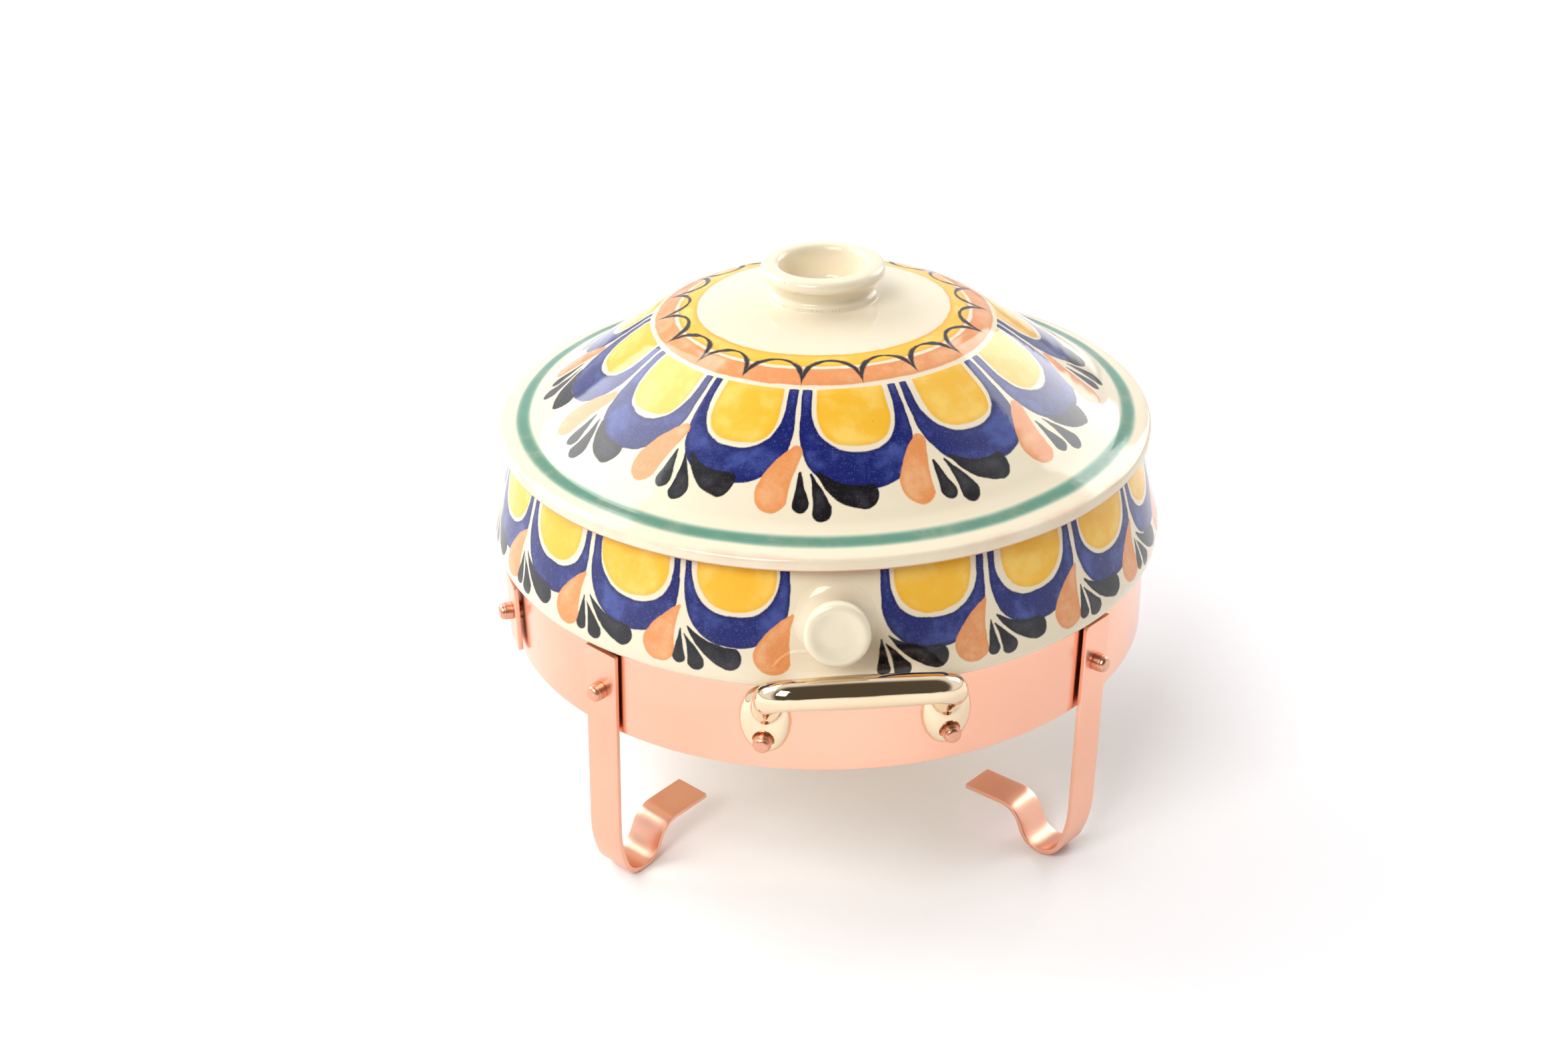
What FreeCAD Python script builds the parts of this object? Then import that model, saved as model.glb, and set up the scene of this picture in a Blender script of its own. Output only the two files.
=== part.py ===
import FreeCAD, Part
import math
import operator
import os
import Sketcher

# A fondue pot set: a glazed bowl and its lid on an open copper stand.
# Millimetres, +Z up, origin on the floor under the centre of the stand.
# Azimuth 0 is the front, -Y; azimuth grows towards +X.

document = FreeCAD.newDocument("fondue_pot_set")
V = FreeCAD.Vector

# ---------------------------------------------------------------- driving dimensions
DIMENSIONS = (
    # the copper stand
    ("band_radius", 160.0, "outer radius of the band"),
    ("band_wall", 1.5, "band sheet thickness"),
    ("band_height", 44.45, "band height, 1 3/4 inch stock"),
    ("leg_drop", 88.9, "floor to the band's lower edge"),
    ("strip_width", 19.05, "leg strip width, 3/4 inch stock"),
    ("strip_thickness", 2.4, "leg strip thickness"),
    ("strip_gap", 1.0, "washer gap between strip and band"),
    ("leg_top_step", 1.0, "leg top below the band's upper edge"),
    ("ankle_radius", 60.0, "slow bend above the foot, on the strip's middle"),
    ("foot_radius", 12.0, "bend that stands on the floor, on the strip's middle"),
    ("instep_radius", 12.0, "bend from the foot up to the pad, on the strip's middle"),
    ("ankle_angle", 20.0, "how far the slow bend leans the strip inwards, degrees"),
    ("rise_angle", 65.0, "slope of the strip between foot and pad, degrees"),
    ("pad_height", 19.2, "middle of the flat pad above the floor"),
    ("pad_reach", 101.0, "radius of the pad's tip"),
    ("shin_link", 3.0, "straight stretch between the slow bend and the foot"),
    ("leg_swing", 2.9, "how far each leg has swung on its one bolt, degrees"),
    ("strap_height", 36.0, "short strap on the band's side"),
    # round fasteners
    ("bolt_radius", 2.4, "bolt shank"),
    ("bolt_hole", 2.5, "hole for the shank in band, strips and handles"),
    ("head_radius", 5.0, "bolt head inside the band"),
    ("head_height", 1.8, "bolt head"),
    ("nut_radius", 4.3, "domed cap nut"),
    ("nut_height", 6.4, "cap nut, seat to tip"),
    ("nut_barrel", 4.0, "straight barrel of a cap nut, below its dome"),
    ("nut_step", 0.35, "small step from the barrel in to the dome"),
    ("nut_bore", 2.45, "cap nut bore"),
    ("nut_bore_depth", 5.0, "cap nut bore"),
    ("washer_radius", 4.5, "washer between strip and band"),
    ("seat_gap", 0.02, "clearance of a clamped face"),
    # the cast handles
    ("bar_radius", 7.4, "handle bar at its middle"),
    ("arm_radius", 6.8, "handle bar at its ends, and its arms"),
    ("arm_length", 44.0, "arms before they are trimmed to the band, from the bar's middle line"),
    ("arm_spacing", 80.0, "between the middles of the arms"),
    ("elbow_radius", 10.0, "bend between bar and arm"),
    ("bar_reach", 26.0, "band surface to the middle of the bar"),
    ("bar_rise", 58.0, "band's lower edge to the middle of the bar"),
    ("arm_tilt", 40.2, "slope of the arms, degrees"),
    ("oval_half_width", 11.75, "oval pad of a handle"),
    ("oval_half_height", 17.2, "oval pad of a handle"),
    ("oval_depth", 6.2, "oval pad of a handle, from the band"),
    ("oval_rise", 26.5, "band's lower edge to the middle of the oval"),
    ("handle_bolt_rise", 18.0, "band's lower edge to the handle bolts"),
    ("handle_seat", 4.0, "spot face for the handle nut, from the band"),
    # the bowl
    ("bowl_radius", 166.0, "bowl at its shoulder"),
    ("bowl_wall", 8.0, "bowl wall thickness"),
    ("bowl_shoulder", 6.0, "rounding of the shoulder over the band"),
    ("bowl_lean", 15.0, "inward lean of the upper wall, degrees"),
    ("bowl_taper", 12.0, "inward lean of the part inside the band, degrees"),
    ("bowl_base", 84.0, "underside of the bowl above the floor"),
    ("bowl_sweep", 42.9, "rounding between the tapered wall and the base"),
    ("foot_ring_radius", 99.5, "middle of the ring the bowl stands on when it is lifted out"),
    ("foot_ring_half", 4.0, "half width of that ring where it touches"),
    ("foot_ring_depth", 2.5, "how far it stands below the base"),
    ("shoulder_rise", 3.6, "upright stretch above the shoulder's rounding"),
    ("waist_step", 1.1, "clearance between the band and the part inside it"),
    ("mouth_height", 190.75, "bowl rim above the floor"),
    ("rest_gap", 0.05, "clearance of a resting face"),
    ("lug_radius", 14.7, "round lug on the bowl's side"),
    ("lug_neck", 11.8, "waist of a lug"),
    ("lug_root", 18.0, "flared root of a lug"),
    ("lug_length", 22.8, "wall to the face of a lug"),
    ("lug_rise", 78.1, "band's lower edge to a lug's root"),
    ("lug_tilt", 12.0, "upward tilt of a lug, degrees"),
    ("lug_sink", 6.0, "how far a lug's root starts inside the wall"),
    ("lug_flare", 7.5, "end of the flare, from the wall"),
    ("lug_rim", 6.4, "thickness of a lug's rim"),
    ("lug_dish", 2.2, "depth of the dish in a lug's face"),
    # the lid
    ("lid_radius", 160.0, "lid rim"),
    ("lid_wall", 6.6, "lid wall thickness"),
    ("flange_slope", 15.0, "lid slope beside the rim, degrees"),
    ("flank_slope", 35.5, "lid slope at mid radius, degrees"),
    ("crown_slope", 10.0, "lid slope around the ring knob, degrees"),
    ("flange_radius", 147.6, "point on the flange"),
    ("flange_rise", 8.7, "that point above the lid's rest face"),
    ("flank_radius", 110.0, "point on the flank"),
    ("flank_rise", 32.9, "that point above the lid's rest face"),
    ("crown_radius", 25.8, "point on the crown, at the foot of the knob"),
    ("crown_rise", 64.6, "that point above the lid's rest face"),
    ("knob_radius", 30.2, "rim of the ring knob"),
    ("knob_height", 16.6, "ring knob above the crown"),
    ("knob_opening", 23.4, "opening of the ring knob"),
    ("cup_floor_radius", 17.5, "floor of the ring knob's cup"),
    ("locator_radius", 142.0, "ring under the lid that drops into the bowl"),
    ("locator_depth", 7.5, "that ring, below the rest face"),
    ("locator_wall", 6.0, "that ring"),
    ("rim_roll", 0.7, "how far the rim's upper corner stands in from the edge"),
)

LEG_TURN = 0.6  # the four bolt holes of the legs stand turned a little from the handles
LEG_AZIMUTHS = {
    "front_left": LEG_TURN - 45,
    "front_right": LEG_TURN + 45,
    "rear_right": LEG_TURN + 135,
    "rear_left": LEG_TURN - 135,
}
HANDLE_AZIMUTHS = {"front": 0.0, "rear": 180.0}
STRAP_AZIMUTH = -76.0
BOWL_TURN = -3.2  # the bowl stands turned a little in its stand
OVAL_AZIMUTH = 14.7  # each side of a handle's middle


class Size:
    """A size with its value in millimetres and the sheet expression that drives it."""

    def __init__(self, value, text):
        self.value = value
        self.text = text

    def combine(self, other, symbol, work):
        other = as_size(other)
        return Size(work(self.value, other.value), f"({self.text} {symbol} {other.text})")

    def __add__(self, other):
        return self.combine(other, "+", operator.add)

    def __sub__(self, other):
        return self.combine(other, "-", operator.sub)

    def __mul__(self, other):
        return self.combine(other, "*", operator.mul)

    def __truediv__(self, other):
        return self.combine(other, "/", operator.truediv)

    def __radd__(self, other):
        return as_size(other) + self

    def __rsub__(self, other):
        return as_size(other) - self

    def __rmul__(self, other):
        return as_size(other) * self

    def __rtruediv__(self, other):
        return as_size(other) / self


def as_size(number):
    """A Size from a plain number; a Size stays as it is."""
    if isinstance(number, Size):
        return number
    return Size(float(number), f"{number:.6f}")


def tangent(angle):
    """The tangent of an angle in degrees."""
    return Size(math.tan(math.radians(angle.value)), f"tan({angle.text} * 1 deg)")


def sine(angle):
    """The sine of an angle in degrees."""
    return Size(math.sin(math.radians(angle.value)), f"sin({angle.text} * 1 deg)")


def cosine(angle):
    """The cosine of an angle in degrees."""
    return Size(math.cos(math.radians(angle.value)), f"cos({angle.text} * 1 deg)")


def fill_sheet():
    """Write the driving dimensions into the sheet and hand them back by name."""
    sheet = document.addObject("Spreadsheet::Sheet", "Sizes")
    sizes = {}
    for row, (name, value, meaning) in enumerate(DIMENSIONS, start=1):
        sheet.set(f"A{row}", name)
        sheet.set(f"B{row}", str(value))
        sheet.setAlias(f"B{row}", name)
        sheet.set(f"C{row}", meaning)
        sizes[name] = Size(value, f"Sizes.{name}")
    document.recompute()
    return sizes


D = fill_sheet()
ZERO = as_size(0)


# ---------------------------------------------------------------- helpers
def bind(item, **sizes):
    """Drive properties of an object from the sheet."""
    for name, size in sizes.items():
        item.setExpression(name, as_size(size).text)


def turned(azimuth):
    """The placement that carries the +X side of a piece to an azimuth."""
    return FreeCAD.Placement(V(0, 0, 0), FreeCAD.Rotation(V(0, 0, 1), azimuth - 90))


def new_body(name):
    body = document.addObject("PartDesign::Body", name)
    body.Label = name
    return body


def new_sketch(body, name, role):
    """A sketch on one of the body's own origin planes."""
    plane = next(f for f in body.Origin.OriginFeatures if f.Role == role)
    sketch = body.newObject("Sketcher::SketchObject", name)
    sketch.AttachmentSupport = [(plane, "")]
    sketch.MapMode = "FlatFace"
    return sketch


def pin_point(sketch, index, end, across, up):
    """Hold a point of the sketch at two driven distances from its origin."""
    for kind, size, axis in (("DistanceX", across, -2), ("DistanceY", up, -1)):
        if size.value == 0:
            sketch.addConstraint(Sketcher.Constraint("PointOnObject", index, end, axis))
            continue
        held = sketch.addConstraint(Sketcher.Constraint(kind, -1, 1, index, end, size.value))
        sketch.setExpression(f"Constraints[{held}]", size.text)


def rounding(before, corner, after, radius):
    """The two ends and the middle of an arc that rounds a corner."""
    back = (before - corner).normalize()
    on = (after - corner).normalize()
    half = back.getAngle(on) / 2
    first = corner + back * (radius / math.tan(half))
    last = corner + on * (radius / math.tan(half))
    centre = corner + (back + on).normalize() * (radius / math.sin(half))
    middle = centre + (corner - centre).normalize() * radius
    return first, middle, last


def draw_outline(sketch, corners, closed=True):
    """Draw lines through corners (across, up, radius or None), with driven roundings."""
    points = [V(across.value, up.value, 0) for across, up, _ in corners]
    count = len(corners)
    arrive, leave, arcs = {}, {}, {}
    for i, (_, _, radius) in enumerate(corners):
        arrive[i] = leave[i] = points[i]
        if radius is not None:
            ends = rounding(points[i - 1], points[i], points[(i + 1) % count], radius.value)
            arrive[i], leave[i] = ends[0], ends[2]
            arcs[i] = sketch.addGeometry(Part.Arc(*ends), False)
    lines = {}  # the line that leaves each corner
    for i in range(count if closed else count - 1):
        after = (i + 1) % count
        lines[i] = sketch.addGeometry(Part.LineSegment(leave[i], arrive[after]), False)
    for i, (across, up, radius) in enumerate(corners):
        before, after = lines.get((i - 1) % count), lines.get(i)
        if not closed and i == 0:
            pin_point(sketch, after, 1, across, up)
        elif not closed and i == count - 1:
            pin_point(sketch, before, 2, across, up)
        elif radius is None:
            sketch.addConstraint(Sketcher.Constraint("Coincident", before, 2, after, 1))
            pin_point(sketch, after, 1, across, up)
        else:
            round_corner(sketch, arcs[i], before, after, points[i], (across, up, radius))


def round_corner(sketch, arc, before, after, point, corner):
    """Tie an arc to the two lines that meet in a driven corner."""
    across, up, radius = corner
    mark = sketch.addGeometry(Part.Point(point), True)
    for line, line_end in ((before, 2), (after, 1)):
        spot = sketch.getPoint(line, line_end)
        arc_end = 1 if spot.distanceToPoint(sketch.getPoint(arc, 1)) < 1e-6 else 2
        sketch.addConstraint(Sketcher.Constraint("Tangent", line, line_end, arc, arc_end))
        sketch.addConstraint(Sketcher.Constraint("PointOnObject", mark, 1, line))
    pin_point(sketch, mark, 1, across, up)
    held = sketch.addConstraint(Sketcher.Constraint("Radius", arc, radius.value))
    sketch.setExpression(f"Constraints[{held}]", radius.text)


def corner(across, up, radius=None):
    """One corner of an outline, as Size values."""
    return as_size(across), as_size(up), None if radius is None else as_size(radius)


def revolve(body, name, corners, axis="V_Axis"):
    """Turn a closed outline in the body's XZ plane into a full revolution."""
    sketch = new_sketch(body, name + "_section", "XZ_Plane")
    draw_outline(sketch, corners)
    feature = body.newObject("PartDesign::Revolution", name)
    feature.Profile = sketch
    feature.ReferenceAxis = (sketch, [axis])
    feature.Angle = 360
    body.Tip = feature
    return feature


def shape_tool(kind, name, placement=None, **sizes):
    """A Part primitive with driven sizes."""
    tool = document.addObject(kind, name)
    bind(tool, **sizes)
    if placement is not None:
        tool.Placement = placement
    return tool


def cut(name, base, tool):
    item = document.addObject("Part::Cut", name)
    item.Base, item.Tool = base, tool
    item.Label = name
    return item


def fuse(name, shapes):
    item = document.addObject("Part::MultiFuse", name)
    item.Shapes = shapes
    item.Label = name
    return item


# ---------------------------------------------------------------- derived heights and radii
band_bottom = D["leg_drop"]
band_top = band_bottom + D["band_height"]
band_middle = band_bottom + D["band_height"] / 2
band_inside = D["band_radius"] - D["band_wall"]
strip_inner = D["band_radius"] + D["strip_gap"]
strip_outer = strip_inner + D["strip_thickness"]
strip_mid = strip_inner + D["strip_thickness"] / 2
handle_seat = D["band_radius"] + D["handle_seat"]
handle_bolt_height = band_bottom + D["handle_bolt_rise"]
# a swung strip stands on one corner of its foot, so it is made that much shorter
swing_lift = band_middle - (band_middle - D["strip_width"] / 2 * sine(D["leg_swing"])) / cosine(D["leg_swing"])


# ---------------------------------------------------------------- fasteners
def make_bolt(name, azimuth, height, seat):
    """A bolt: low head inside the band, shank through the stack into the cap nut."""
    end = seat + D["nut_bore_depth"] - 0.6
    # the head is flat and the band is curved, so its face stands just off the sheet
    face = band_inside - 0.1
    body = new_body(name)
    revolve(body, name + "_turned", [
        corner(face - D["head_height"], 0),
        corner(face - D["head_height"], D["head_radius"] * 0.7),
        corner(face - 0.6, D["head_radius"]),
        corner(face, D["head_radius"]),
        corner(face, D["bolt_radius"]),
        corner(end - 0.4, D["bolt_radius"]),
        corner(end, D["bolt_radius"] - 0.4),
        corner(end, 0),
    ], "H_Axis")
    body.Placement = FreeCAD.Placement(V(0, 0, height.value), turned(azimuth).Rotation)
    return body


def make_cap_nut(name, azimuth, height, seat):
    """A round cap nut: straight barrel, small step and low dome, hollow for the bolt."""
    seat = seat + D["seat_gap"]
    tip = seat + D["nut_height"]
    shoulder = seat + D["nut_barrel"]
    dome_radius = D["nut_radius"] - D["nut_step"]
    body = new_body(name)
    revolve(body, name + "_turned", [
        corner(seat, D["nut_bore"]),
        corner(seat, D["nut_radius"]),
        corner(shoulder, D["nut_radius"], 0.3),
        corner(shoulder, dome_radius),
        corner(tip, dome_radius, 2.2),
        corner(tip, 0),
        corner(seat + D["nut_bore_depth"], 0),
        corner(seat + D["nut_bore_depth"], D["nut_bore"]),
    ], "H_Axis")
    body.Placement = FreeCAD.Placement(V(0, 0, height.value), turned(azimuth).Rotation)
    return body


def make_washer(name, azimuth):
    """A thin washer that holds a strip off the band."""
    body = new_body(name)
    revolve(body, name + "_turned", [
        corner(D["band_radius"] + D["seat_gap"], D["bolt_hole"]),
        corner(D["band_radius"] + D["seat_gap"], D["washer_radius"]),
        corner(strip_inner - D["seat_gap"], D["washer_radius"]),
        corner(strip_inner - D["seat_gap"], D["bolt_hole"]),
    ], "H_Axis")
    body.Placement = FreeCAD.Placement(V(0, 0, band_middle.value), turned(azimuth).Rotation)
    return body


def hole_tools(name, places):
    """Radial drills through the band's wall, one for each (azimuth, height)."""
    drills = []
    for number, (azimuth, height) in enumerate(places, start=1):
        turn = turned(azimuth).Rotation.multiply(FreeCAD.Rotation(V(0, 1, 0), 90))
        start = turned(azimuth).multVec(V(band_inside.value - 10, 0, height.value))
        drills.append(shape_tool("Part::Cylinder", f"{name}_{number}",
                                 FreeCAD.Placement(start, turn),
                                 Radius=D["bolt_hole"], Height=40))
    return drills


# ---------------------------------------------------------------- stand
def make_band():
    """The copper band, with a bolt hole at every leg, handle pad and strap."""
    outside = shape_tool("Part::Cylinder", "band_outside",
                         FreeCAD.Placement(V(0, 0, band_bottom.value), FreeCAD.Rotation()),
                         Radius=D["band_radius"], Height=D["band_height"])
    inside = shape_tool("Part::Cylinder", "band_inside",
                        FreeCAD.Placement(V(0, 0, band_bottom.value - 1), FreeCAD.Rotation()),
                        Radius=band_inside, Height=D["band_height"] + 2)
    places = [(azimuth, band_middle) for azimuth in LEG_AZIMUTHS.values()]
    places.append((STRAP_AZIMUTH, band_middle))
    for middle in HANDLE_AZIMUTHS.values():
        places += [(middle + side * OVAL_AZIMUTH, handle_bolt_height) for side in (-1, 1)]
    drills = fuse("band_drills", hole_tools("band_drill", places))
    return cut("band", cut("band_ring", outside, inside), drills)


def leg_path():
    """Corners of the strip's middle line, from the top of a leg to the tip of its pad."""
    ankle, rise = D["ankle_angle"], D["rise_angle"]
    top = band_top - D["leg_top_step"]
    floor = D["strip_thickness"] / 2 + swing_lift
    pad_up = D["pad_height"] + swing_lift
    # the foot's arc touches the floor below its centre; the lines beside it are its tangents
    foot_centre_up = floor + D["foot_radius"]
    foot_start_up = foot_centre_up - D["foot_radius"] * sine(ankle)
    link = D["shin_link"]
    ankle_end_up = foot_start_up + link * cosine(ankle)
    ankle_start_up = ankle_end_up + D["ankle_radius"] * sine(ankle)
    ankle_corner_up = ankle_start_up - D["ankle_radius"] * tangent(ankle / 2)
    foot_start_in = D["ankle_radius"] * (1 - cosine(ankle)) + link * sine(ankle)
    foot_in = foot_start_in + D["foot_radius"] * cosine(ankle)
    # corner of the foot: where the leaning line and the rising line would meet
    rise_up = foot_centre_up - D["foot_radius"] * cosine(rise)
    rise_in = foot_in + D["foot_radius"] * sine(rise)
    lean = tangent(ankle)
    climb = tangent(rise)
    # leaning line: inward = foot_start_in + (foot_start_up - up) * lean
    # rising line:  inward = rise_in + (up - rise_up) / climb
    corner_up = (foot_start_in + foot_start_up * lean - rise_in + rise_up / climb) / (lean + 1 / climb)
    corner_in = foot_start_in + (foot_start_up - corner_up) * lean
    instep_in = rise_in + (pad_up - rise_up) / climb
    return [
        corner(strip_mid, top),
        corner(strip_mid, ankle_corner_up, D["ankle_radius"]),
        corner(strip_mid - corner_in, corner_up, D["foot_radius"]),
        corner(strip_mid - instep_in, pad_up, D["instep_radius"]),
        corner(D["pad_reach"], pad_up),
    ]


def draw_rectangle(sketch, low, high):
    """A driven rectangle between two corners given as (across, up)."""
    draw_outline(sketch, [
        corner(low[0], low[1]), corner(high[0], low[1]),
        corner(high[0], high[1]), corner(low[0], high[1]),
    ])


def drill_strip(body, name, height):
    """The bolt hole of a strip, cut along +X through the body."""
    sketch = new_sketch(body, name, "YZ_Plane")
    circle = sketch.addGeometry(Part.Circle(V(0, height.value, 0), V(0, 0, 1), D["bolt_hole"].value))
    sketch.addConstraint(Sketcher.Constraint("PointOnObject", circle, 3, -2))
    held = sketch.addConstraint(Sketcher.Constraint("DistanceY", -1, 1, circle, 3, height.value))
    sketch.setExpression(f"Constraints[{held}]", height.text)
    held = sketch.addConstraint(Sketcher.Constraint("Radius", circle, D["bolt_hole"].value))
    sketch.setExpression(f"Constraints[{held}]", D["bolt_hole"].text)
    document.recompute()
    before = body.Shape.Volume
    pocket = body.newObject("PartDesign::Pocket", name + "_pocket")
    pocket.Profile = sketch
    pocket.Type = "ThroughAll"
    pocket.Midplane = True
    body.Tip = pocket
    document.recompute()
    if not body.Shape.Volume < before:
        raise RuntimeError(name + " cuts nothing")


def make_leg(name, azimuth):
    """A leg: one copper strip swept down the band, round the foot and in to its pad.

    It hangs from a single bolt and has swung on it, all four the same way.
    """
    body = new_body(name)
    path = new_sketch(body, name + "_path", "XZ_Plane")
    draw_outline(path, leg_path(), closed=False)
    section = new_sketch(body, name + "_section", "XY_Plane")
    top = band_top - D["leg_top_step"]
    section.AttachmentOffset = FreeCAD.Placement(V(0, 0, top.value), FreeCAD.Rotation())
    half = D["strip_width"] / 2
    draw_rectangle(section, (strip_inner, ZERO - half), (strip_outer, half))
    document.recompute()
    sweep = body.newObject("PartDesign::AdditivePipe", name + "_strip")
    sweep.Profile = section
    sweep.Spine = (path, [f"Edge{i + 1}" for i in range(len(path.Shape.Edges))])
    sweep.Mode = "Standard"
    body.Tip = sweep
    drill_strip(body, name + "_hole", band_middle)
    swing = FreeCAD.Rotation(V(1, 0, 0), -D["leg_swing"].value)
    about_bolt = FreeCAD.Placement(V(0, 0, 0), swing, V(0, 0, band_middle.value))
    body.Placement = turned(azimuth).multiply(about_bolt)
    return body


def make_strap():
    """A short flat strap bolted on the band's left side."""
    body = new_body("side_strap")
    sketch = new_sketch(body, "side_strap_section", "XZ_Plane")
    half = D["strap_height"] / 2
    draw_rectangle(sketch, (strip_inner, band_middle - half), (strip_outer, band_middle + half))
    pad = body.newObject("PartDesign::Pad", "side_strap_pad")
    pad.Profile = sketch
    pad.Midplane = True
    bind(pad, Length=D["strip_width"])
    body.Tip = pad
    drill_strip(body, "side_strap_hole", band_middle)
    body.Placement = turned(STRAP_AZIMUTH)
    return body


# ---------------------------------------------------------------- handles
def make_handle(name, azimuth):
    """A cast handle: swollen bar, two elbows and arms, two oval pads on the band."""
    straight = D["arm_spacing"] / 2 - D["elbow_radius"]
    bar = new_body(name + "_bar")
    sketch = new_sketch(bar, name + "_bar_section", "XZ_Plane")
    ends = V(-straight.value, D["arm_radius"].value, 0), V(straight.value, D["arm_radius"].value, 0)
    swell = sketch.addGeometry(Part.Arc(ends[0], V(0, D["bar_radius"].value, 0), ends[1]))
    chain = [ends[1], V(straight.value, 0, 0), V(-straight.value, 0, 0), ends[0]]
    sides = [sketch.addGeometry(Part.LineSegment(a, b)) for a, b in zip(chain, chain[1:])]
    for before, after in zip(sides, sides[1:]):
        sketch.addConstraint(Sketcher.Constraint("Coincident", before, 2, after, 1))
    for side, end in ((sides[0], 1), (sides[2], 2)):
        spot = sketch.getPoint(side, end)
        arc_end = 1 if spot.distanceToPoint(sketch.getPoint(swell, 1)) < 1e-6 else 2
        sketch.addConstraint(Sketcher.Constraint("Coincident", side, end, swell, arc_end))
    pin_point(sketch, sides[0], 1, straight, D["arm_radius"])
    pin_point(sketch, sides[0], 2, straight, ZERO)
    pin_point(sketch, sides[2], 1, ZERO - straight, ZERO)
    pin_point(sketch, sides[2], 2, ZERO - straight, D["arm_radius"])
    # the swell's radius follows from its chord and its height
    rise = D["bar_radius"] - D["arm_radius"]
    swell_radius = (straight * straight + rise * rise) / (rise * 2)
    held = sketch.addConstraint(Sketcher.Constraint("Radius", swell, swell_radius.value))
    sketch.setExpression(f"Constraints[{held}]", swell_radius.text)
    spindle = bar.newObject("PartDesign::Revolution", name + "_spindle")
    spindle.Profile = sketch
    spindle.ReferenceAxis = (sketch, ["H_Axis"])
    spindle.Angle = 360
    bar.Tip = spindle

    # the handle's own plane: X along the bar, local Y outwards and up along the arms
    plane = FreeCAD.Placement(
        V(0, -(D["band_radius"] + D["bar_reach"]).value, (band_bottom + D["bar_rise"]).value),
        FreeCAD.Rotation(V(1, 0, 0), 180 - D["arm_tilt"].value))
    bar.Placement = plane
    pieces = [bar]
    for side, word in ((-1, "left"), (1, "right")):
        centre = V(side * straight.value, -D["elbow_radius"].value, 0)
        start = 0 if side > 0 else 90
        pieces.append(shape_tool("Part::Torus", f"{name}_elbow_{word}",
                                 plane.multiply(FreeCAD.Placement(centre, FreeCAD.Rotation(V(0, 0, 1), start))),
                                 Radius1=D["elbow_radius"], Radius2=D["arm_radius"], Angle3=90))
        foot = V(side * D["arm_spacing"].value / 2, -D["elbow_radius"].value, 0)
        pieces.append(shape_tool("Part::Cylinder", f"{name}_arm_{word}",
                                 plane.multiply(FreeCAD.Placement(foot, FreeCAD.Rotation(V(1, 0, 0), 90))),
                                 Radius=D["arm_radius"],
                                 Height=D["arm_length"] - D["elbow_radius"]))
        spot = turned(side * OVAL_AZIMUTH)
        middle = spot.multVec(V(D["band_radius"].value, 0, (band_bottom + D["oval_rise"]).value))
        pieces.append(shape_tool("Part::Ellipsoid", f"{name}_oval_{word}",
                                 FreeCAD.Placement(middle, spot.Rotation),
                                 Radius1=D["oval_half_height"], Radius2=D["oval_depth"],
                                 Radius3=D["oval_half_width"]))
    casting = fuse(name + "_casting", pieces)
    trims = [shape_tool("Part::Cylinder", name + "_trim", None,
                        Radius=D["band_radius"] + D["rest_gap"], Height=250)]
    for side, word in ((-1, "left"), (1, "right")):
        out = turned(side * OVAL_AZIMUTH)
        turn = out.Rotation.multiply(FreeCAD.Rotation(V(0, 1, 0), 90))
        for label, start, radius in (("hole", D["band_radius"], D["bolt_hole"]),
                                     ("seat", handle_seat, D["nut_radius"] + 0.5)):
            base = out.multVec(V(start.value, 0, handle_bolt_height.value))
            trims.append(shape_tool("Part::Cylinder", f"{name}_{label}_{word}",
                                    FreeCAD.Placement(base, turn), Radius=radius, Height=12))
    item = cut(name, casting, fuse(name + "_trims", trims))
    item.Placement = FreeCAD.Placement(V(0, 0, 0), FreeCAD.Rotation(V(0, 0, 1), azimuth))
    return item


# ---------------------------------------------------------------- bowl
def bowl_corners():
    """The bowl's section, outside from base to rim and back down inside."""
    lean = tangent(D["bowl_lean"])
    taper = tangent(D["bowl_taper"])
    ledge = band_top + D["rest_gap"]
    ledge_radius = band_inside - D["waist_step"]
    base = D["bowl_base"]
    wall = D["bowl_wall"]
    # the lower wall tapers from the ledge to the base
    base_radius = ledge_radius - (ledge - base) * taper
    shoulder = ledge + D["bowl_shoulder"] + D["shoulder_rise"]
    mouth_radius = D["bowl_radius"] - (D["mouth_height"] - shoulder) * lean
    across_wall = wall / cosine(D["bowl_lean"])
    across_taper = wall / cosine(D["bowl_taper"])
    floor = base + wall
    floor_radius = base_radius - across_taper + wall * taper
    belly_up = shoulder + 0.5
    belly = D["bowl_radius"] - across_wall - 0.5 * lean
    waist_up = ledge - 0.9
    waist = ledge_radius - across_taper - 0.9 * taper
    ring, ring_half = D["foot_ring_radius"], D["foot_ring_half"]
    ring_low = base - D["foot_ring_depth"]
    draft = 1.5  # each side of the ring widens this much towards the base
    return [
        corner(0, base),
        corner(ring - ring_half - draft, base, 1.0),
        corner(ring - ring_half, ring_low, 0.8),
        corner(ring + ring_half, ring_low, 0.8),
        corner(ring + ring_half + draft, base, 1.0),
        corner(base_radius, base, D["bowl_sweep"]),
        corner(ledge_radius, ledge, 0.6),
        corner(D["bowl_radius"], ledge, D["bowl_shoulder"]),
        corner(D["bowl_radius"], shoulder, 20.0),
        corner(mouth_radius, D["mouth_height"], 3.2),
        corner(mouth_radius - across_wall, D["mouth_height"], 3.2),
        corner(belly, belly_up, 8.0),
        corner(waist, waist_up, 8.0),
        corner(floor_radius, floor, D["bowl_sweep"] - wall),
        corner(0, floor),
    ]


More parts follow.
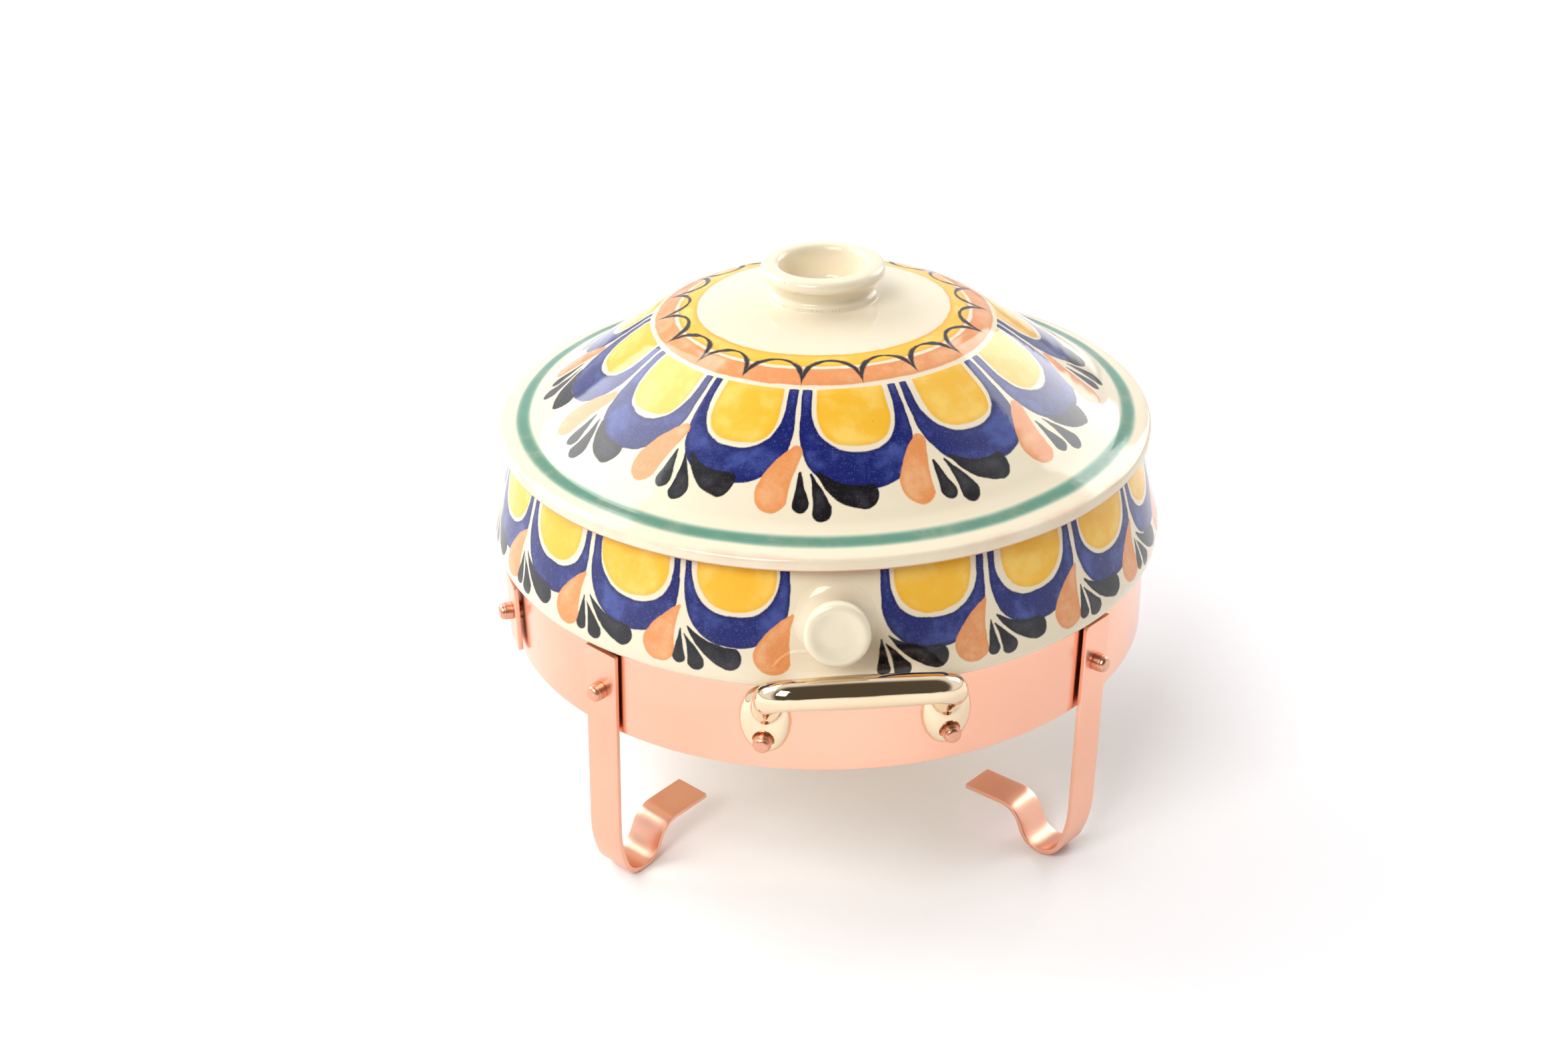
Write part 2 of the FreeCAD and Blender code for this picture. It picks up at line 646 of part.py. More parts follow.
def make_lug(name, azimuth):
    """A round lug: flared root in the bowl's wall, waist, thick dished face."""
    radius, length = D["lug_radius"], D["lug_length"]
    body = new_body(name)
    sunk = ZERO - D["lug_sink"]
    rim = length - D["lug_rim"]
    revolve(body, name + "_turned", [
        corner(sunk, 0),
        corner(sunk, D["lug_root"]),
        corner(D["lug_flare"] / 5, D["lug_root"], 3.0),
        corner(D["lug_flare"], D["lug_neck"] + 0.4, 7.0),
        corner(rim - D["lug_dish"], D["lug_neck"], 2.6),
        corner(rim, radius, 1.8),
        corner(length, radius - 0.2, 2.6),
        corner(length - D["lug_dish"], radius / 2, 14.0),
        corner(length - D["lug_dish"], 0),
    ], "H_Axis")
    height = band_bottom + D["lug_rise"]
    lean = math.tan(math.radians(D["bowl_lean"].value))
    shoulder_height = (band_top + D["rest_gap"] + D["bowl_shoulder"] + D["shoulder_rise"]).value
    root = D["bowl_radius"].value - (height.value - shoulder_height) * lean
    out = turned(azimuth)
    tilt = FreeCAD.Rotation(V(0, 1, 0), -D["lug_tilt"].value)
    body.Placement = FreeCAD.Placement(out.multVec(V(root, 0, height.value)), out.Rotation.multiply(tilt))
    return body


def make_bowl():
    """The bowl with its two lugs, fired as one piece."""
    shell = new_body("bowl_shell")
    revolve(shell, "bowl_turned", bowl_corners())
    lugs = [make_lug("bowl_lug_front", BOWL_TURN), make_lug("bowl_lug_rear", BOWL_TURN + 180)]
    return fuse("bowl", [shell] + lugs)


# ---------------------------------------------------------------- lid
def lid_corners():
    """The lid's section: knob cup, knob, crown, flank, flange, rim, and the underside."""
    rest = D["mouth_height"] + D["rest_gap"]
    crown, flank, flange = (tangent(D[key]) for key in ("crown_slope", "flank_slope", "flange_slope"))
    crown_up, flank_up, flange_up = (rest + D[key] for key in ("crown_rise", "flank_rise", "flange_rise"))

    def meet(up_a, radius_a, slope_a, up_b, radius_b, slope_b):
        """Where two falling lines of the section cross."""
        radius = (up_a + radius_a * slope_a - up_b - radius_b * slope_b) / (slope_a - slope_b)
        return radius, up_a - (radius - radius_a) * slope_a

    hip = meet(crown_up, D["crown_radius"], crown, flank_up, D["flank_radius"], flank)
    ankle = meet(flank_up, D["flank_radius"], flank, flange_up, D["flange_radius"], flange)
    rim = D["lid_radius"] - D["rim_roll"]
    rim_up = flange_up - (rim - D["flange_radius"]) * flange
    under_crown = crown_up - D["lid_wall"] / cosine(D["crown_slope"])
    under_flank = flank_up - D["lid_wall"] / cosine(D["flank_slope"])
    under_hip = meet(under_crown, D["crown_radius"], crown, under_flank, D["flank_radius"], flank)
    locator_inside = D["locator_radius"] - D["locator_wall"]
    locator_top = under_flank - (locator_inside - D["flank_radius"]) * flank
    knob_top = crown_up + D["knob_height"]
    knob, opening, foot = D["knob_radius"], D["knob_opening"], D["crown_radius"]
    cup_floor = crown_up + 0.6
    return [
        corner(0, cup_floor),
        corner(D["cup_floor_radius"], cup_floor, 3.0),
        corner(opening, knob_top, 2.6),
        corner(knob, knob_top - 1.0, 2.6),
        corner(knob - 0.3, knob_top - 5.4, 1.6),
        corner(foot, knob_top - 7.0, 2.0),
        corner(foot - 3.2, crown_up + 3.4, 1.4),
        corner(foot - 0.2, crown_up + 2.5, 0.9),
        corner(foot + 0.6, crown_up - 0.1, 0.8),
        corner(hip[0], hip[1], 60.0),
        corner(ankle[0], ankle[1], 30.0),
        corner(rim, rim_up, 2.6),
        corner(D["lid_radius"], rest, 1.3),
        corner(D["locator_radius"], rest, 0.8),
        corner(D["locator_radius"], rest - D["locator_depth"], 1.6),
        corner(locator_inside, rest - D["locator_depth"], 1.6),
        corner(locator_inside, locator_top, 4.0),
        corner(under_hip[0], under_hip[1], 52.0),
        corner(foot, under_crown, 10.0),
        corner(0, under_crown),
    ]


def make_lid():
    """The lid with its open ring knob, fired as one piece."""
    body = new_body("lid")
    revolve(body, "lid_turned", lid_corners())
    return body


# ---------------------------------------------------------------- assembly
def make_all():
    """Every sub-part of the set, in the order they would be put together."""
    items = [make_band(), make_strap()]
    items += [make_leg(f"leg_{place}", azimuth) for place, azimuth in LEG_AZIMUTHS.items()]
    items += [make_handle(f"handle_{place}", azimuth) for place, azimuth in HANDLE_AZIMUTHS.items()]
    stations = {f"leg_{place}": (azimuth, band_middle, strip_outer)
                for place, azimuth in LEG_AZIMUTHS.items()}
    stations["strap"] = (STRAP_AZIMUTH, band_middle, strip_outer)
    for place, middle in HANDLE_AZIMUTHS.items():
        for side, word in ((-1, "left"), (1, "right")):
            azimuth = middle + side * OVAL_AZIMUTH
            stations[f"handle_{place}_{word}"] = (azimuth, handle_bolt_height, handle_seat)
    for name, (azimuth, height, seat) in stations.items():
        items.append(make_bolt("bolt_" + name, azimuth, height, seat))
        items.append(make_cap_nut("cap_nut_" + name, azimuth, height, seat))
        if seat is strip_outer:  # the cast handles sit on the band without one
            items.append(make_washer("washer_" + name, azimuth))
    items += [make_bowl(), make_lid()]
    return items


def check_document():
    """Stop if any object failed to build."""
    for item in document.Objects:
        if {"Invalid", "Error"} & set(item.State):
            raise RuntimeError(f"{item.Name} failed: {item.State}")


def export(items):
    """Check each sub-part and write it as its own file."""
    os.makedirs("parts", exist_ok=True)
    for item in items:
        shape = item.Shape
        if shape.isNull() or not shape.isValid():
            raise RuntimeError(item.Label + " has no valid shape")
        shape.exportStep(os.path.join("parts", item.Label + ".step"))
        box = shape.BoundBox
        print(f"{item.Label}: {len(shape.Solids)} solid, {shape.Volume:.0f} mm3, "
              f"X {box.XMin:.1f}..{box.XMax:.1f} Y {box.YMin:.1f}..{box.YMax:.1f} "
              f"Z {box.ZMin:.1f}..{box.ZMax:.1f}")


sub_parts = make_all()
document.recompute()
check_document()
export(sub_parts)
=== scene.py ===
import math

import bmesh
import bpy
from mathutils import Matrix, Vector


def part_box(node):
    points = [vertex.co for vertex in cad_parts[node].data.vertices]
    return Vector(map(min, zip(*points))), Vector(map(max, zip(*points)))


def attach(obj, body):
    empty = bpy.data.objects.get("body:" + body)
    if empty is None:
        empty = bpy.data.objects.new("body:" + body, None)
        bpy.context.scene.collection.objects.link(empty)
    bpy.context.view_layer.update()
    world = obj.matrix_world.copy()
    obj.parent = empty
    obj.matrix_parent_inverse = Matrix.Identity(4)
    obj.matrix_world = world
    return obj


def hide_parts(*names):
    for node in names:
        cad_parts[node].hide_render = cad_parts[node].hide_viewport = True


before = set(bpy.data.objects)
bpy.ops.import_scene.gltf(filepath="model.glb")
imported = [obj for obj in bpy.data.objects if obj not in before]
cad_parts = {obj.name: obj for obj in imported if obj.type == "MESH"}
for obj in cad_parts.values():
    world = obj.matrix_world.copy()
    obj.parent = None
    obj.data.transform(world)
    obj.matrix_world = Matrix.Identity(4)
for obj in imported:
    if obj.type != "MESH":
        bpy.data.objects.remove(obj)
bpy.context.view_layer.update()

# A fondue pot set in its copper stand. Lengths here are millimetres and turn into metres
# when a mesh is made; the studio's are metres. Azimuth 0 is the front, -Y, and grows
# towards +X, in degrees.
MM = 0.001


def span(node, axis):
    """Where a CAD node starts and ends along an axis, in millimetres."""
    low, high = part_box(node)
    return low[axis] / MM, high[axis] / MM


# ------------------------------------------------------------------ sizes from the frame
REST_GAP = 0.05  # clearance of a resting face
BAND_BOTTOM, BAND_TOP = span("band", 2)
BAND_RADIUS = 160.0
BAND_WALL = 1.5
STRIP_WIDTH = 19.05
STRIP_THICKNESS = 2.4
STRIP_INNER = BAND_RADIUS + 1.0
STRIP_OUTER = STRIP_INNER + STRIP_THICKNESS
STRIP_MIDDLE = STRIP_INNER + STRIP_THICKNESS / 2
LEG_TOP = BAND_TOP - 1.0
BAND_MIDDLE = (BAND_BOTTOM + BAND_TOP) / 2
BOWL_RADIUS = span("bowl", 0)[1]
BOWL_FOOT, BOWL_MOUTH = span("bowl", 2)
LEDGE = BAND_TOP + REST_GAP  # the face by which the bowl rests on the band
SHOULDER = LEDGE + 6.0 + 3.6  # the bowl's rounding above the ledge, then a short upright stretch
LEAN = math.tan(math.radians(15.0))  # how fast the bowl's upper wall leans in
BOWL_WALL = 8.0
LID_REST = BOWL_MOUTH + REST_GAP
LID_TOP = span("lid", 2)[1]
LID_CROWN = LID_REST + 64.6  # the lid's surface at the foot of its knob
LEG_AZIMUTHS = {"front_left": -44.4, "front_right": 45.6, "rear_right": 135.6, "rear_left": -134.4}
LEG_SWING = math.radians(2.9)  # each leg has swung this far on its one bolt
STRAP_AZIMUTH = -76.0
BOWL_TURN = -3.2  # the bowl sits in its stand turned by this much
OVAL_AZIMUTH = 14.7  # a handle's two pads are this far to each side of its middle
HANDLE_SEAT = BAND_RADIUS + 4.0
HANDLE_BOLT_HEIGHT = BAND_BOTTOM + 18.0


def outward(azimuth):
    """The level direction of an azimuth."""
    turn = math.radians(azimuth)
    return Vector((math.sin(turn), -math.cos(turn), 0))


def sideways(azimuth):
    """The level direction across an azimuth, growing with it."""
    turn = math.radians(azimuth)
    return Vector((math.cos(turn), math.sin(turn), 0))


# ------------------------------------------------------------------ mesh tools
def smooth_step(value):
    value = min(max(value, 0.0), 1.0)
    return value * value * (3 - 2 * value)


def finish_mesh(name, work, material, body, replaced, sharp=40.0):
    """Turn a bmesh in millimetres into a smooth-shaded piece on its body."""
    bmesh.ops.recalc_face_normals(work, faces=work.faces)
    bmesh.ops.scale(work, vec=(MM, MM, MM), verts=work.verts)
    mesh = bpy.data.meshes.new(name)
    work.to_mesh(mesh)
    work.free()
    mesh.polygons.foreach_set("use_smooth", [True] * len(mesh.polygons))
    mesh.set_sharp_from_angle(angle=math.radians(sharp))
    mesh.materials.append(material)
    piece = bpy.data.objects.new(name, mesh)
    bpy.context.collection.objects.link(piece)
    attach(piece, body)
    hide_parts(*replaced)


def rounded(corners, closed=False, longest=3.0):
    """Points along lines through (across, up, rounding) corners, with arcs at the roundings."""
    spots = [Vector((c[0], c[1])) for c in corners]
    count = len(corners)
    points = []
    for i, (_, _, radius) in enumerate(corners):
        if radius == 0:
            points.append(spots[i])
            continue
        back = (spots[i - 1] - spots[i]).normalized()
        on = (spots[(i + 1) % count] - spots[i]).normalized()
        half = back.angle(on) / 2
        centre = spots[i] + (back + on).normalized() * (radius / math.sin(half))
        first = spots[i] + back * (radius / math.tan(half)) - centre
        sweep = math.pi - 2 * half
        side = 1 if first.y * back.x - first.x * back.y > 0 else -1
        steps = max(5, math.ceil(radius * sweep / 1.6))
        for k in range(steps + 1):
            turn = side * sweep * k / steps
            points.append(centre + Matrix.Rotation(turn, 2) @ first)
    line = [points[0]]
    for point in points[1:] + ([points[0]] if closed else []):
        length = (point - line[-1]).length
        if length < 1e-4:
            continue
        pieces = math.ceil(length / longest)
        start = line[-1]
        line += [start.lerp(point, k / pieces) for k in range(1, pieces + 1)]
    return line[:-1] if closed else line


def lathe(work, profile, sides, closed=False, shape=None):
    """Spin a profile of (radius, height) points about +Z. shape(azimuth, radius, height) bends it."""
    rings = []
    for radius, height in profile:
        if radius < 1e-6:
            rings.append([work.verts.new((0, 0, height))])
            continue
        points = []
        for k in range(sides):
            azimuth = 360 * k / sides
            r, z = shape(azimuth, radius, height) if shape else (radius, height)
            points.append(work.verts.new(outward(azimuth) * r + Vector((0, 0, z))))
        rings.append(points)
    bridge(work, rings, closed)


def bridge(work, rings, closed=False):
    """Faces between neighbouring rings of points; a ring of one point is a tip."""
    pairs = list(zip(rings, rings[1:]))
    if closed:
        pairs.append((rings[-1], rings[0]))
    for one, two in pairs:
        count = max(len(one), len(two))
        for k in range(count):
            after = (k + 1) % count
            if len(one) == 1:
                work.faces.new((one[0], two[k], two[after]))
            elif len(two) == 1:
                work.faces.new((one[k], one[after], two[0]))
            else:
                work.faces.new((one[k], one[after], two[after], two[k]))


def sweep(work, frames, section):
    """Carry a closed section along frames of (place, across, up, scale) and cap both ends."""
    rings = []
    for place, across, up, scale in frames:
        rings.append([work.verts.new(place + across * (x * scale) + up * (y * scale)) for x, y in section])
    bridge(work, rings)
    work.faces.new(rings[0])
    work.faces.new(rings[-1])


# ------------------------------------------------------------------ material tools
class Field:
    """A number that a material works out at every point of a surface."""

    def __init__(self, shader, socket):
        self.shader = shader
        self.socket = socket

    def __add__(self, other):
        return self.shader.calc("ADD", self, other)

    def __radd__(self, other):
        return self.shader.calc("ADD", other, self)

    def __sub__(self, other):
        return self.shader.calc("SUBTRACT", self, other)

    def __rsub__(self, other):
        return self.shader.calc("SUBTRACT", other, self)

    def __mul__(self, other):
        return self.shader.calc("MULTIPLY", self, other)

    def __rmul__(self, other):
        return self.shader.calc("MULTIPLY", other, self)

    def __truediv__(self, other):
        return self.shader.calc("DIVIDE", self, other)

    def __abs__(self):
        return self.shader.calc("ABSOLUTE", self)

    def floor(self):
        return self.shader.calc("FLOOR", self)

    def root(self):
        return self.shader.calc("SQRT", self)

    def power(self, other):
        return self.shader.calc("POWER", self, other)

    def at_least(self, other):
        return self.shader.calc("MAXIMUM", self, other)

    def at_most(self, other):
        return self.shader.calc("MINIMUM", self, other)

    def wrap(self, period):
        return self.shader.calc("FLOORED_MODULO", self, period)


class Shader:
    """A material built of nodes, with short names for the ones used here."""

    def __init__(self, name, **surface):
        self.material = bpy.data.materials.new(name)
        self.material.use_nodes = True
        self.tree = self.material.node_tree
        self.surface = self.tree.nodes["Principled BSDF"]
        for key, value in surface.items():
            self.feed(self.surface.inputs[key.replace("_", " ")], value)
        self.place = self.tree.nodes.new("ShaderNodeTexCoord").outputs["Object"]
        split = self.tree.nodes.new("ShaderNodeSeparateXYZ")
        self.tree.links.new(self.place, split.inputs[0])
        self.x, self.y, self.z = [Field(self, out) * (1 / MM) for out in split.outputs]

    def feed(self, socket, value):
        """A link from a field or socket, or a plain value."""
        if isinstance(value, Field):
            value = value.socket
        if isinstance(value, bpy.types.NodeSocket):
            self.tree.links.new(value, socket)
        elif socket.type == "RGBA":
            socket.default_value = (*value, 1)
        else:
            socket.default_value = value

    def calc(self, operation, *values):
        node = self.tree.nodes.new("ShaderNodeMath")
        node.operation = operation
        for socket, value in zip(node.inputs, values):
            self.feed(socket, value)
        return Field(self, node.outputs[0])

    def ramp(self, value, low, high, start=0.0, end=1.0):
        """A soft step from start to end as value goes from low to high."""
        node = self.tree.nodes.new("ShaderNodeMapRange")
        node.interpolation_type = "SMOOTHSTEP"
        for socket, entry in zip(node.inputs, (value, low, high, start, end)):
            self.feed(socket, entry)
        return Field(self, node.outputs[0])

    def noise(self, size, detail=2.0, roughness=0.5, stretch=(1, 1, 1), seed=0.0):
        """Even noise from 0 to 1 with lumps about size millimetres across."""
        place = self.tree.nodes.new("ShaderNodeVectorMath")
        place.operation = "MULTIPLY_ADD"
        self.feed(place.inputs[0], self.place)
        place.inputs[1].default_value = stretch
        place.inputs[2].default_value = (seed, seed * 0.7, -seed)
        node = self.tree.nodes.new("ShaderNodeTexNoise")
        self.feed(node.inputs["Vector"], place.outputs[0])
        self.feed(node.inputs["Scale"], 1 / (size * MM))
        self.feed(node.inputs["Detail"], detail)
        self.feed(node.inputs["Roughness"], roughness)
        return Field(self, node.outputs[0])

    def specks(self, size, spot, share, seed=0.0):
        """Sparse round specks: one at most in each cell, spot millimetres in radius."""
        place = self.tree.nodes.new("ShaderNodeVectorMath")
        place.operation = "ADD"
        self.feed(place.inputs[0], self.place)
        place.inputs[1].default_value = (seed, seed, seed)
        node = self.tree.nodes.new("ShaderNodeTexVoronoi")
        self.feed(node.inputs["Vector"], place.outputs[0])
        self.feed(node.inputs["Scale"], 1 / (size * MM))
        split = self.tree.nodes.new("ShaderNodeSeparateColor")
        self.tree.links.new(node.outputs["Color"], split.inputs[0])
        near = self.ramp(Field(self, node.outputs["Distance"]), spot / size, spot / size * 0.6)
        return near * self.ramp(Field(self, split.outputs[0]), 1 - share, 1 - share + 0.01)

    def chance(self, index, seed=0.0):
        """Three random numbers from 0 to 1 for each whole number."""
        node = self.tree.nodes.new("ShaderNodeTexWhiteNoise")
        node.noise_dimensions = "1D"
        self.feed(node.inputs["W"], index + seed)
        split = self.tree.nodes.new("ShaderNodeSeparateColor")
        self.tree.links.new(node.outputs["Color"], split.inputs[0])
        return [Field(self, out) for out in split.outputs]

    def mix(self, below, above, mask):
        """The colour above laid over the colour below where mask is 1."""
        node = self.tree.nodes.new("ShaderNodeMix")
        node.data_type = "RGBA"
        self.feed(node.inputs["Factor"], mask)
        self.feed(node.inputs[6], below)
        self.feed(node.inputs[7], above)
        return node.outputs[2]

    def bump(self, height, depth, strength=1.0):
        """Raise the surface by height, from 0 to 1, times depth millimetres."""
        node = self.tree.nodes.new("ShaderNodeBump")
        self.feed(node.inputs["Strength"], strength)
        self.feed(node.inputs["Distance"], depth * MM)
        self.feed(node.inputs["Height"], height)
        self.tree.links.new(node.outputs[0], self.surface.inputs["Normal"])

    def radius(self):
        return (self.x * self.x + self.y * self.y).root()

    def azimuth(self):
        return self.calc("ARCTAN2", self.x, 0 - self.y) * (180 / math.pi)


# ------------------------------------------------------------------ the painted glaze
CREAM = (0.80, 0.72, 0.55)
CREAM_DEEP = (0.76, 0.64, 0.44)
TERRACOTTA = (0.62, 0.27, 0.15)
THIN_GLAZE = (0.74, 0.47, 0.34)
PIT = (0.40, 0.28, 0.15)
YELLOW = (0.86, 0.47, 0.035)
YELLOW_DEEP = (0.72, 0.30, 0.012)
YELLOW_PALE = (0.90, 0.62, 0.14)
BLUE = (0.011, 0.016, 0.128)
BLUE_DEEP = (0.007, 0.006, 0.070)
BLUE_PALE = (0.065, 0.095, 0.33)
ORANGE = (0.72, 0.27, 0.085)
ORANGE_PALE = (0.80, 0.44, 0.22)
BLACK = (0.009, 0.008, 0.010)
BLACK_PALE = (0.050, 0.048, 0.055)
GREEN = (0.035, 0.185, 0.12)
GREEN_PALE = (0.13, 0.33, 0.24)

EDGE = 0.35  # half width of a painted edge
GLAZE_IOR = 1.46


class Painter:
    """Lays glaze colours on a shader, with uneven brush edges and pooling."""

    def __init__(self, shader):
        self.shader = shader
        self.colour = shader.mix(CREAM, CREAM_DEEP, shader.noise(38, 3, seed=1.0) * 0.55)
        self.shake = (shader.noise(9, 5, 0.65, seed=2.0) - 0.5) * 3.4
        self.grain = shader.noise(1.0, 3, 0.7, seed=3.0)
        self.wash = shader.noise(16, 4, 0.6, seed=4.0)
        self.salt = shader.specks(1.5, 0.3, 0.55, 5.0)
        self.thickness = None

    def lay(self, inside, colour, deep, pale, speckle=0.35, pooling=0.8):
        """Paint where inside is above 0: deeper at pooled edges, paler and speckled in between."""
        shader = self.shader
        inside = inside + self.shake * 0.5
        mask = shader.ramp(inside, -EDGE, EDGE)
        body = shader.mix(colour, pale, shader.ramp(self.wash, 0.42, 0.68) * 0.75)
        pooled = shader.ramp(inside, 2.6, 0.2) * shader.ramp(self.wash, 0.35, 0.6, 0.35, 1.0)
        body = shader.mix(body, deep, pooled * pooling)
        body = shader.mix(body, pale, shader.ramp(self.grain, 0.52, 0.72) * speckle)
        body = shader.mix(body, tuple(0.4 + 0.6 * c for c in pale), self.salt * speckle * 0.35)
        self.colour = shader.mix(self.colour, body, mask)
        self.thickness = mask if self.thickness is None else self.thickness.at_least(mask)


def bowl_shape(across, depth, width, start, end, square=2.0):
    """Inside distance of a U: sides at width, round below start, its lowest point at end.

    square makes its bottom an ellipse at 2 and squarer above that.
    """
    below = (depth - start).at_least(0) / (end - start)
    side = abs(across / width)
    return (1 - (side.power(square) + below.power(square)).power(1 / square)) * (end - start)


def leaf_shape(x, y, tip, heart, thin, thick, bend, taper):
    """Inside distance of a leaf: thin at its tip, thick at its heart, its middle bent sideways."""
    along = (heart[0] - tip[0], heart[1] - tip[1])
    length = math.hypot(*along)
    dx, dy = x - tip[0], y - tip[1]
    t = ((dx * along[0] + dy * along[1]) / length ** 2).at_least(0).at_most(1)
    bow = t * (1 - t) * (4 * bend)
    off_x = dx - t * along[0] - bow * (along[1] / length)
    off_y = dy - t * along[1] + bow * (along[0] / length)
    girth = thin + (thick - thin) * t.power(taper)
    return girth - (off_x * off_x + off_y * off_y).root()


def paint_border(painter, place, period, depth, arc, pattern, windows=(None, None, None)):
    """The repeating border. place counts degrees round the piece and depth millimetres down it.

    arc turns degrees into millimetres. pattern gives the sizes of one petal and its leaves.
    The windows are 1 where the petals, the orange leaves and the black leaves are painted.
    """
    shader = painter.shader
    depth = depth + (shader.noise(45, 1, seed=5.0) - 0.5) * pattern["stray"]
    place = place + (shader.noise(40, 1, seed=6.0) - 0.5) * (pattern["stray"] * 0.5)
    petal = (place / period).floor()
    first, second, third = shader.chance(petal, 0.5)
    middle = place.wrap(period) - period / 2
    low = depth - (first - 0.5) * pattern["stray"]
    keep = shader.ramp(depth, pattern["top"] - EDGE, pattern["top"] + EDGE)
    petal_window, orange_window, black_window = windows

    def clipped(inside, window=None):
        """Nothing is painted above the border or outside a window."""
        inside = inside * keep - (1 - keep) * 3
        return inside if window is None else inside * window - (1 - window) * 3

    width, start, end = pattern["tongue"]
    tongue = bowl_shape(middle, low, width + (second - 0.5) * 0.8, start, end, pattern["square"])
    painter.lay(clipped(tongue, petal_window), YELLOW, YELLOW_DEEP, YELLOW_PALE, 0.25, pooling=0.35)

    outer = bowl_shape(middle, low, *pattern["outer"], 2.3)
    inner = bowl_shape(middle + (third - 0.5) * 0.7, low, *pattern["inner"], 2.3)
    crescent = outer.at_most(0 - inner)
    painter.lay(clipped(crescent, petal_window), BLUE, BLUE_DEEP, BLUE_PALE, 0.55)

    # leaves hang from the joint between two petals and reach further to the right of it
    left_share = 0.39
    shifted = place + period * left_share
    joint = (shifted / period).floor()
    first, second, third = shader.chance(joint, 7.5)
    x = (shifted.wrap(period) - period * left_share - (first - 0.5) * 0.9) * arc
    y = depth - (second - 0.5) * pattern["stray"]
    for leaf in pattern["orange"]:
        painter.lay(clipped(leaf_shape(x, y, *leaf), orange_window), ORANGE, ORANGE, ORANGE_PALE, 0.5)
    black = None
    for leaf in pattern["black"]:
        inside = leaf_shape(x, y, *leaf)
        black = inside if black is None else black.at_least(inside)
    painter.lay(clipped(black, black_window), BLACK, BLACK, BLACK_PALE, 0.4)


def ring(value, middle, half):
    """Inside distance of a stripe."""
    return half - abs(value - middle)


def finish_glaze(shader, painter, raw):
    """Specks, bare clay where raw is 1, a slow swell and a thin relief of paint."""
    colour = shader.mix(painter.colour, (0.16, 0.12, 0.08), shader.specks(11, 0.32, 0.35, 3.0) * 0.7)
    colour = shader.mix(colour, (0.45, 0.26, 0.14), shader.specks(6, 0.22, 0.3, 8.0) * 0.5)
    clay = shader.mix(TERRACOTTA, (0.70, 0.40, 0.27), shader.noise(2.2, 4, 0.7, seed=9.0))
    colour = shader.mix(colour, clay, raw)
    shader.feed(shader.surface.inputs["Base Color"], colour)
    shader.feed(shader.surface.inputs["Roughness"],
                shader.ramp(raw, 0, 1, 0.07, 0.75) + painter.wash * 0.06 - 0.02)
    height = shader.noise(7, 2, seed=11.0) * 0.5 + painter.grain * raw * 0.5
    height = height + painter.thickness * 0.25 + painter.thickness * painter.grain * 0.15
    shader.bump(height, 0.10, 0.6)


def degrees_to_arc(radius):
    return radius * (math.pi / 180)


# U shapes as (half width in degrees, where the rounding starts, lowest point); leaves as
# (tip, heart, radius at the tip, radius at the heart, bend, how late the leaf thickens)
LID_PATTERN = {
    "top": 83.5,
    "stray": 2.4,
    "square": 2.7,
    "tongue": (10.2, 90.0, 106.8),
    "outer": (14.4, 96.0, 124.0),
    "inner": (11.6, 88.0, 109.0),
    "orange": [((0.2, 109.5), (-8.8, 126.4), 3.0, 7.8, -1.0, 0.9)],
    "black": [
        ((3.0, 118.0), (4.6, 130.2), 0.6, 3.9, 0.0, 1.1),
        ((8.2, 118.5), (14.2, 132.4), 0.5, 4.7, 0.6, 1.2),
        ((11.5, 118.0), (33.5, 126.8), 1.0, 5.3, -2.6, 0.9),
    ],
}

BOWL_PATTERN = {
    "top": -6.0,
    "stray": 1.8,
    "square": 2.2,
    "tongue": (6.7, 4.0, 21.6),
    "outer": (8.8, 12.0, 37.0),
    "inner": (7.4, 3.0, 23.6),
    "orange": [((-1.4, 21.0), (-9.6, 39.2), 0.8, 8.4, -1.5, 1.0)],
    "black": [
        ((0.0, 31.0), (0.2, 43.6), 0.5, 3.1, 0.0, 1.1),
        ((2.0, 33.0), (8.2, 44.2), 0.4, 4.2, 0.5, 1.3),
        ((3.4, 29.5), (24.0, 40.6), 0.5, 5.4, -2.2, 1.0),
    ],
}


